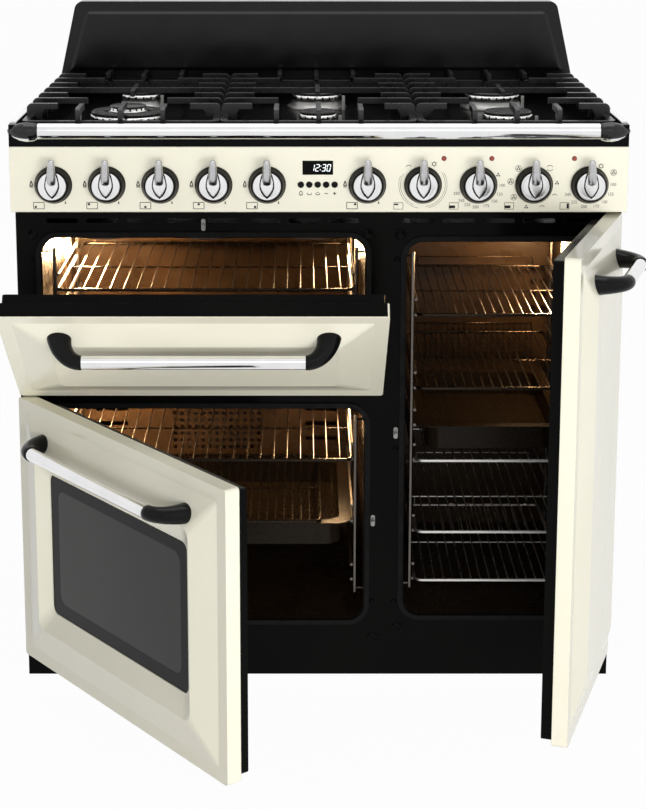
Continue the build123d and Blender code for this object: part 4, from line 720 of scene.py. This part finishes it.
segments = {
    "a": (0, 6, 5, 6), "b": (5, 5.4, 5, 0.6), "c": (5, -0.6, 5, -5.4), "d": (0, -6, 5, -6),
    "e": (0, -0.6, 0, -5.4), "f": (0, 5.4, 0, 0.6), "g": (0.5, 0, 4.5, 0),
}
lit_bars = []
for left, letters in ((-13.5, "bc"), (-5.6, "abged"), (5.0, "abgcd"), (13.0, "abcdef")):
    for x0, z0, x1, z1 in (segments[letter] for letter in letters):
        lit_bars.append(((left + x0, z0), (left + x1, z1)))
lit_bars += [((2.1, 4.2), (2.1, 2.6)), ((2.1, -2.6), (2.1, -4.2))]
digits = bmesh.new()
for start, end in lit_bars:
    ring = []
    for a, b in bar(start, end, BAR_WIDE / 2):
        x = DISPLAY_X + (a + DIGIT_SLANT * b) / DIGIT_UNITS_WIDE
        ring.append(digits.verts.new((x, WINDOW_FACE, DISPLAY_Z + b / DIGIT_UNITS_HIGH)))
    digits.faces.new(ring)
shown("clock_digits", meshed("clock_digits", digits, display), "body")


# Lamps and taps behind the panel.
# Clear red lenses over neon lamps, pressed into the panel.
# Brass taps and switch bodies, with the spindles that the knobs push onto.
red_lens, tree, shader = finish("red_lens")
red = ramp(tree, noise(tree, 300), (0.2, 0.018, 0.01), (0.34, 0.04, 0.02))
tree.links.new(red, shader.inputs["Base Color"])
shader.inputs["Roughness"].default_value = 0.15
shader.inputs["Coat Weight"].default_value = 0.6
dress("indicator_lamps", red_lens)
dress("control_spindles", plate("tap_brass", (0.72, 0.52, 0.24), (0.25, 0.4), streak=60))


# Hob plate and backsplash.
# Deep-drawn steel under glossy black enamel.
# The upstand behind it is a hollow pressing under a slightly paler and shinier black.
hob_black = enamel(
    "hob_enamel", (0.0012, 0.0012, 0.0012), (0.0025, 0.0025, 0.0025), (0.12, 0.22), cloud=7, shine=0.06
)
splash_black = enamel(
    "splash_enamel", (0.003, 0.003, 0.003), (0.006, 0.006, 0.006), (0.12, 0.22),
    cloud=7, shine=0.26, edge=0.004,
)
dress("hob_plate", hob_black)
dress("backsplash", splash_black)


# Side strips of the hob.
# Slightly domed strips of satin steel at the left and right.
# They cover the raw edges of the hob plate.
STRIP_X = 0.445
STRIP_HALF = 0.0049
STRIP_RISE = 0.0015
STRIP_ENDS = (-0.29, 0.2525)
HOB_RIM_Z = 0.9
ARCH_STEPS = 8
satin = plate("satin_steel", (0.86, 0.86, 0.86), (0.42, 0.55), streak=60)
strips = bmesh.new()
arch = [math.pi * i / ARCH_STEPS for i in range(ARCH_STEPS + 1)]
for middle in (-STRIP_X, STRIP_X):
    ends = []
    for y in STRIP_ENDS:
        dome = [(middle + STRIP_HALF * math.cos(t), y, HOB_RIM_Z + STRIP_RISE * math.sin(t)) for t in arch]
        ends.append([strips.verts.new(point) for point in dome])
    for i in range(ARCH_STEPS):
        strips.faces.new((ends[0][i], ends[0][i + 1], ends[1][i + 1], ends[1][i]))
    strips.faces.new(ends[0])
    strips.faces.new(ends[1])
bmesh.ops.recalc_face_normals(strips, faces=strips.faces)
shown("hob_side_strips", meshed("hob_side_strips", strips, satin), "body")


# Corner mouldings of the hob.
# Glossy black mouldings, swelling from the bar to a point round each corner, over a bright corner
# plate of the same outline. They sit on the ends of the front bar.
def lofted(name, sections, material, around=24):
    """A closed skin through ellipses across local Y.

    Each section gives its place along Y, half width, middle Z, half height and, if not zero, middle X.
    """
    made = bmesh.new()
    loops = []
    for along, half_width, middle, half_height, *aside in sections:
        shift = aside[0] if aside else 0.0
        loop = []
        for step in range(around):
            turn = 2 * math.pi * step / around
            across = shift + half_width * math.cos(turn)
            loop.append(made.verts.new((across, along, middle + half_height * math.sin(turn))))
        loops.append(loop)
    stitch(made, loops)
    made.faces.new(loops[0])
    made.faces.new(loops[-1])
    bmesh.ops.recalc_face_normals(made, faces=made.faces)
    return meshed(name, made, material, smooth=True)


def joined(name, parts):
    """One mesh from several, each keeping its own material."""
    made = bmesh.new()
    materials = []
    for part in parts:
        material = part.materials[0]
        if material not in materials:
            materials.append(material)
        before = len(made.faces)
        made.from_mesh(part)
        made.faces.ensure_lookup_table()
        for face in made.faces[before:]:
            face.material_index = materials.index(material)
    mesh = meshed(name, made)
    for material in materials:
        mesh.materials.append(material)
    return mesh


moulding = [
    (0.407, 0.0115, 0, 0.0112, 0), (0.415, 0.0135, 0, 0.0127, 0), (0.424, 0.0142, 0, 0.0133, 0),
    (0.433, 0.0136, 0, 0.0123, -0.001), (0.441, 0.0116, 0, 0.0099, -0.003), (0.448, 0.008, 0, 0.0062, -0.006),
    (0.4525, 0.0036, 0, 0.0022, -0.009),
]
moulding_resin = enamel(
    "moulding_resin", (0.003, 0.003, 0.003), (0.006, 0.006, 0.006), (0.1, 0.18),
    cloud=20, peel=400, height=0.00008, shine=0.4,
)
ACROSS_FRONT = (0, 0, math.radians(-90))
for name, material, at, slot in (
    ("corner_mouldings", moulding_resin, (0, -0.3, 0.888), "black_plastic"),
    ("corner_plates", chrome, (0, -0.2975, 0.8848), "chrome"),
):
    corners = []
    for side in (-1, 1):
        run = [(side * along, *rest) for along, *rest in moulding]
        corners.append(lofted(f"{name}_end", run, material))
    piece = shown(name, joined(name, corners), "body", at, ACROSS_FRONT)
    if name == "corner_mouldings":
        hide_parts("hob_end_caps")


# Burners.
# Aluminium bases in the well of the hob, each with a bright crown cut by gas ports, black enamelled
# caps and ceramic igniters. The large burner has a second, raised crown and lid inside its ring.
BURNER_OUT = 0.29
BURNER_FRONT, BURNER_BACK = -0.1413, 0.1038
WELL_Z = 0.87
CROWN_Z, LID_Z = 0.898, 0.9034
CROWN_RADIUS = 0.0262
PORTS = (0.8862, 0.8912)
CROWN_PORTS = (0.8992, 0.9026)
PORT_HALF = 0.0013
PORT_CLEAR = 0.0002
PORTS_PER_METRE = 520
alloy = plate("burner_alloy", (0.86, 0.85, 0.83), (0.14, 0.26), streak=90)
# The lower body takes a darker alloy than the crown: partly a duller cast finish, partly painted shade.
cast_alloy_and_shade = plate("burner_cast_alloy_and_shade", (0.3, 0.295, 0.285), (0.3, 0.42), streak=120)
port_mouth_shade = enamel(
    "port_shadow", (0.001, 0.001, 0.001), (0.003, 0.003, 0.003), (0.5, 0.7), cloud=90, shine=0.1
)
ports = bmesh.new()


def port_ring(x, y, radius, heights, count):
    """Dark port mouths round a crown, each a narrow upright slot of painted shade."""
    low, high = heights
    for step in range(count):
        turn = 2 * math.pi * (step + 0.5) / count
        out = Vector((math.cos(turn), math.sin(turn), 0))
        along = Vector((-math.sin(turn), math.cos(turn), 0)) * PORT_HALF
        at = Vector((x, y, 0)) + out * (radius + PORT_CLEAR)
        corners = ((-1, low), (1, low), (1, high), (-1, high))
        ports.faces.new([ports.verts.new(at + along * a + Vector((0, 0, z))) for a, z in corners])


burners = (
    ("left_front", -BURNER_OUT, BURNER_FRONT, 0.058), ("left_back", -BURNER_OUT, BURNER_BACK, 0.032),
    ("middle_front", 0.0, BURNER_FRONT, 0.029), ("middle_back", 0.0, BURNER_BACK, 0.041),
    ("right_front", BURNER_OUT, BURNER_FRONT, 0.038), ("right_back", BURNER_OUT, BURNER_BACK, 0.045),
)
bases = []
for name, x, y, radius in burners:
    body_outline = [
        (radius + 0.008, 0), (radius + 0.008, 0.003), (radius + 0.0065, 0.0042), (radius + 0.003, 0.0055),
        (radius + 0.001, 0.009), (radius - 0.0016, 0.0125), (radius - 0.0012, 0.0142),
    ]
    crown_outline = [
        (radius - 0.0012, 0.0142), (radius, 0.015), (radius, 0.0216), (radius - 0.0012, 0.0228), (0, 0.0228),
    ]
    for outline, material in ((body_outline, cast_alloy_and_shade), (crown_outline, alloy)):
        base = turned(f"burner_{name}", outline, material, segments=64)
        base.transform(Matrix.Translation((x, y, WELL_Z)))
        bases.append(base)
    port_ring(x, y, radius, PORTS, int(radius * PORTS_PER_METRE))
inner_crown = [
    (0.0285, 0), (0.0285, 0.0004), (CROWN_RADIUS, 0.0008), (CROWN_RADIUS, 0.0048), (0.0252, 0.0054),
    (0, 0.0054),
]
crown = turned("inner_crown", inner_crown, alloy, segments=48)
crown.transform(Matrix.Translation((-BURNER_OUT, BURNER_FRONT, CROWN_Z)))
bases.append(crown)
port_ring(-BURNER_OUT, BURNER_FRONT, CROWN_RADIUS, CROWN_PORTS, 16)
turned_burners = shown("turned_burners", joined("turned_burners", bases), "body")
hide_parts("burner_bases")
shown("burner_ports", meshed("burner_ports", ports, port_mouth_shade), "body")
cap_black = enamel(
    "cap_enamel", (0.006, 0.006, 0.006), (0.014, 0.014, 0.014), (0.24, 0.38), cloud=60, peel=500, shine=0.4
)
dress("burner_caps", cap_black)
inner_lid = [(0, 0), (0.0272, 0), (0.0278, 0.0008), (0.0274, 0.002), (0.0258, 0.0028), (0, 0.003)]
lid = turned("inner_lid", inner_lid, cap_black, segments=48)
shown("inner_lid", lid, "body", (-BURNER_OUT, BURNER_FRONT, LID_Z), facing((0, 0, 1)))
ceramic = enamel("igniter_ceramic", (0.72, 0.71, 0.68), (0.8, 0.79, 0.76), (0.3, 0.45), cloud=80)
dress("spark_igniters", ceramic)


# Pan supports.
# Cast iron under matt black enamel, with the fine sand grain of the mould still felt through it.
# Each stands loose on the hob plate.
iron = enamel(
    "cast_iron", (0.004, 0.004, 0.004), (0.009, 0.009, 0.009), (0.24, 0.36),
    cloud=30, peel=700, height=0.0004, edge=0.0015,
)
for name in ("grate_left", "grate_centre", "grate_right"):
    dress(name, iron)


# Knobs.
# A dark brown moulded skirt carries a chromed domed disc. A thin dark band in the skirt's brown round a
# pointed leaf is painted shade that outlines it, and a chromed lever rises from the leaf. Each knob pushes
# onto the spindle of its tap or switch.
KNOB_FACE = -0.301
KNOB_Z = 0.81
LEFT_KNOB_X, LEFT_PITCH = -0.3865, 0.0778
RIGHT_KNOB_X, RIGHT_PITCH = 0.0708, 0.0809
UPRIGHT = (math.radians(90), 0, 0)
skirt = [
    (0, 0), (0.0262, 0), (0.0275, 0.0006), (0.0275, 0.0026), (0.0268, 0.0038), (0.0252, 0.0085),
    (0.0236, 0.0135), (0.0226, 0.0165), (0.0218, 0.0172), (0.021, 0.017), (0.0206, 0.0158), (0, 0.0158),
]
disc = [
    (0, 0.0155), (0.0206, 0.0155), (0.0207, 0.0172), (0.0201, 0.0183), (0.0188, 0.0186), (0.0178, 0.0183),
    (0.015, 0.0190), (0.01, 0.0197), (0.005, 0.02), (0, 0.0201),
]
leaf = [
    (-0.0148, 0.0005, 0.0202, 0.0004), (-0.0128, 0.0024, 0.0203, 0.0006), (-0.009, 0.0054, 0.0205, 0.0008),
    (-0.004, 0.0080, 0.0207, 0.0010), (0.001, 0.0093, 0.0208, 0.0011), (0.006, 0.0090, 0.0208, 0.0011),
    (0.011, 0.0078, 0.0206, 0.0010), (0.016, 0.0062, 0.0200, 0.0010), (0.0195, 0.0052, 0.0192, 0.001),
]
lever = [
    (0.002, 0.0016, 0.0214, 0.0008), (0.003, 0.0040, 0.0224, 0.0026), (0.0045, 0.0056, 0.0238, 0.0044),
    (0.008, 0.0064, 0.0250, 0.0058), (0.013, 0.0066, 0.0254, 0.0062), (0.019, 0.0064, 0.0254, 0.0062),
    (0.027, 0.0057, 0.0252, 0.0059), (0.034, 0.0052, 0.0249, 0.0055), (0.0375, 0.0047, 0.0247, 0.005),
    (0.0392, 0.0036, 0.0246, 0.004), (0.04, 0.0014, 0.0246, 0.0018),
]
# Painted shade: a dark band just wider than the leaf, outlining it on the disc.
leaf_shade_band = [
    (-0.0172, 0.0006, 0.0192, 0.0009), (-0.013, 0.0052, 0.0196, 0.0009), (-0.008, 0.0084, 0.0199, 0.0009),
    (-0.002, 0.0107, 0.02, 0.0009), (0.004, 0.0108, 0.02, 0.0009), (0.011, 0.0096, 0.0196, 0.0009),
    (0.0178, 0.0076, 0.0184, 0.0012), (0.0195, 0.0066, 0.018, 0.0012),
]
skirt_brown = enamel(
    "skirt_moulding", (0.004, 0.003, 0.0025), (0.008, 0.006, 0.005), (0.25, 0.4),
    cloud=120, peel=700, shine=0.1,
)
disc_chrome = plate("knob_disc_chrome", (0.9, 0.9, 0.9), (0.28, 0.4), streak=90)
lever_chrome = plate("knob_lever_chrome", (0.55, 0.55, 0.56), (0.24, 0.34), streak=90)
knob_mesh = joined(
    "knob",
    [
        turned("knob_skirt", skirt, skirt_brown, segments=56),
        turned("knob_disc", disc, disc_chrome, segments=56),
        lofted("knob_leaf_shade_band", leaf_shade_band, skirt_brown),
        lofted("knob_leaf", leaf, disc_chrome),
        lofted("knob_lever", lever, lever_chrome),
    ],
)
knob_places = [LEFT_KNOB_X + LEFT_PITCH * i for i in range(5)]
knob_places += [RIGHT_KNOB_X + RIGHT_PITCH * i for i in range(5)]
for number, across in enumerate(knob_places, start=1):
    at = (across, KNOB_FACE, KNOB_Z)
    knob = shown(f"lever_knob_{number}", knob_mesh, f"knob_{number}", at, UPRIGHT)
    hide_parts(f"knob_{number}")


# Marks round the knobs and under the keys.
# Fine dark print fired onto the panel: flames, hob and oven diagrams, small symbols and the
# temperatures of the ovens. Shapes are in millimetres and their places in metres.
PANEL_FACE = -0.3001
INK_SPREAD = 1.4
LARGE_FLAME = (5.0, -0.0325, 0.8105)
SMALL_FLAME = (3.0, 0.0166, 0.783)
DIAGRAM_LEFT, DIAGRAM_Z = 0.0222, 0.779
OVEN_SIGN_LEFT, OVEN_SIGN_Z = 0.0355, 0.7785
OVEN_SIGN_SQUEEZE = 0.85
KEY_SIGN_Z = 0.7975
KEY_MIDDLE, KEY_PITCH = -0.0015, 0.0123
DEGREES_SIZE = 0.0062
DEGREES_OUT, DEGREES_UP = 0.0345, 0.0335
GRILL, OVEN, OVEN_FUNCTION, TALL = 6, 7, 8, 9
print_ink = enamel(
    "panel_print", (0.008, 0.008, 0.007), (0.016, 0.015, 0.014), (0.4, 0.55), cloud=200, shine=0.2
)
marks = bmesh.new()


def mark(points, dx, dz):
    """A filled outline printed on the panel, from (across, up) points in millimetres."""
    ring = [marks.verts.new((dx + a / 1000, PANEL_FACE, dz + b / 1000)) for a, b in points]
    marks.faces.new(ring)


def stroke(points, width, dx, dz, closed=False):
    """A printed line through points in millimetres, a little wider than drawn where the ink spreads."""
    pairs = list(zip(points, points[1:]))
    if closed:
        pairs.append((points[-1], points[0]))
    for start, end in pairs:
        mark(bar(start, end, width * INK_SPREAD / 2), dx, dz)


def arc(radius, start, end, steps=16, across=0.0, up=0.0):
    """Points round a circle, by clock angles in degrees from twelve."""
    turns = [math.radians(start + (end - start) * i / steps) for i in range(steps + 1)]
    return [(across + radius * math.sin(t), up + radius * math.cos(t)) for t in turns]


def flame(size, dx, dz, filled):
    """A flame, filled in, or else drawn as an outline over a short line."""
    outline = [(0, size), (0.2 * size, 0.45 * size), (0.44 * size, -0.4 * size)]
    outline += [(-a, b) for a, b in reversed(outline[1:])]
    if filled:
        mark(outline, dx, dz)
    else:
        stroke(outline, size * 0.2, dx, dz, closed=True)
        stroke([(-0.55 * size, -0.78 * size), (0.55 * size, -0.78 * size)], size * 0.18, dx, dz)


def lamp_sign(dx, dz):
    """A ring with six rays."""
    stroke(arc(2.6, 0, 360, 12), 0.7, dx, dz)
    for ray in range(6):
        turn = math.radians(60 * ray)
        ends = [(reach * math.sin(turn), reach * math.cos(turn)) for reach in (3.1, 4.2)]
        stroke(ends, 0.6, dx, dz)


def fan_sign(dx, dz, ring):
    """Three round blades, in a ring where asked."""
    if ring:
        stroke(arc(4.3, 0, 360, 16), 0.5, dx, dz)
    for blade in range(3):
        turn = math.radians(120 * blade)
        mark(arc(1.25, 0, 330, 9, 1.9 * math.sin(turn), 1.9 * math.cos(turn)), dx, dz)


diagram = [(-7.8, -4.8), (7.8, -4.8), (7.8, 4.8), (-7.8, 4.8)]
for column, across in enumerate(knob_places[:6]):
    for (size, aside, up), filled in ((LARGE_FLAME, False), (SMALL_FLAME, True)):
        flame(size, across + aside, up, filled)
    stroke(diagram, 0.7, across - DIAGRAM_LEFT, DIAGRAM_Z, closed=True)
    spot_x = (-4.6, 0.0, 4.6)[column // 2]
    spot_z = -2.0 if column % 2 == 0 else 2.0
    mark(arc(2.3, 45, 315, 3, spot_x, spot_z), across - DIAGRAM_LEFT, DIAGRAM_Z)

for column, (x0, x1, z0, z1) in (
    (GRILL, (-6, 0, 1.2, 3.4)),
    (OVEN, (-6.5, 2, -3.4, 0.8)),
    (OVEN_FUNCTION, (-6.5, 2, -3.4, 0.8)),
    (TALL, (3, 6, -3.6, 3.6)),
):
    dx = knob_places[column] - OVEN_SIGN_LEFT
    stroke([(a * OVEN_SIGN_SQUEEZE, b) for a, b in diagram], 0.5, dx, OVEN_SIGN_Z, closed=True)
    mark([(x0, z0), (x1, z0), (x1, z1), (x0, z1)], dx, OVEN_SIGN_Z)

for radius, start, end in ((32.6, 55, 172), (35.2, 60, 165), (32.6, 205, 300), (35.2, 190, 292)):
    stroke(arc(radius, start, end, 22), 0.35, knob_places[GRILL], KNOB_Z)
for column, radius, start, end, across, up in (
    (GRILL, 5.0, -52, 52, -21, 23.5),
    (OVEN_FUNCTION, 4.0, -60, 60, 12.5, -35),
    (OVEN_FUNCTION, 4.0, -60, 60, 30.6, -18),
    (OVEN_FUNCTION, 4.6, -60, 60, 22.7, 24),
    (OVEN_FUNCTION, 4.6, 120, 240, 22.7, 25),
):
    stroke(arc(radius, start, end, 8, across, up), 0.6, knob_places[column], KNOB_Z)
lamp_sign(knob_places[GRILL] + 0.016, 0.8405)
lamp_sign(knob_places[TALL] + 0.0161, 0.8374)
for column, across, up, ring in (
    (TALL, 0.0347, 0.828, True),
    (OVEN_FUNCTION, -0.023, 0.834, True),
    (OVEN_FUNCTION, -0.034, 0.8148, True),
    (OVEN_FUNCTION, -0.029, 0.7914, True),
    (OVEN_FUNCTION, -0.0107, 0.777, False),
    (OVEN_FUNCTION, 0.0336, 0.8124, False),
    (OVEN, 0.0284, 0.8243, False),
):
    fan_sign(knob_places[column] + across, up, ring)

bell = [(-2.6, -2.4), (-2, 1), (-1, 2.8), (1, 2.8), (2, 1), (2.6, -2.4)]
pot = [(-2.9, 0.2), (-2.4, -2.4), (2.4, -2.4), (2.9, 0.2)]
key_places = [KEY_MIDDLE + KEY_PITCH * i for i in range(-2, 3)]
for key, points, width, closed in (
    (0, bell, 0.6, True),
    (0, [(-1, -3.3), (1, -3.3)], 0.7, False),
    (1, pot, 0.7, False),
    (2, pot, 0.7, False),
    (2, [(-1.4, 1.6), (0, 0.6), (1.4, 1.6)], 0.6, False),
    (3, [(-2.3, -0.6), (2.3, -0.6)], 0.8, False),
    (4, [(-2.4, -0.6), (2.4, -0.6)], 0.8, False),
    (4, [(0, -3.0), (0, 1.8)], 0.8, False),
):
    stroke(points, width, key_places[key], KEY_SIGN_Z, closed)
shown("panel_marks", meshed("panel_marks", marks, print_ink), "body")

degrees = ("100", "125", "150", "175", "200", "225", "245", "250")
for column, turns in (
    (OVEN, (92, 115, 137, 160, 186, 207, 225, 247)),
    (TALL, (90, 115, 140, 162, 192, 219, 244)),
):
    for text, turn in zip(degrees, turns):
        name = f"oven_degrees_{column}_{text}"
        words = bpy.data.curves.new(name, "FONT")
        words.body = text
        words.size = DEGREES_SIZE
        words.align_x = "CENTER"
        words.align_y = "CENTER"
        words.materials.append(print_ink)
        spin = math.radians(turn)
        x = knob_places[column] + DEGREES_OUT * math.sin(spin)
        at = (x, PANEL_FACE, KNOB_Z + DEGREES_UP * math.cos(spin))
        shown(name, words, "body", at, UPRIGHT)
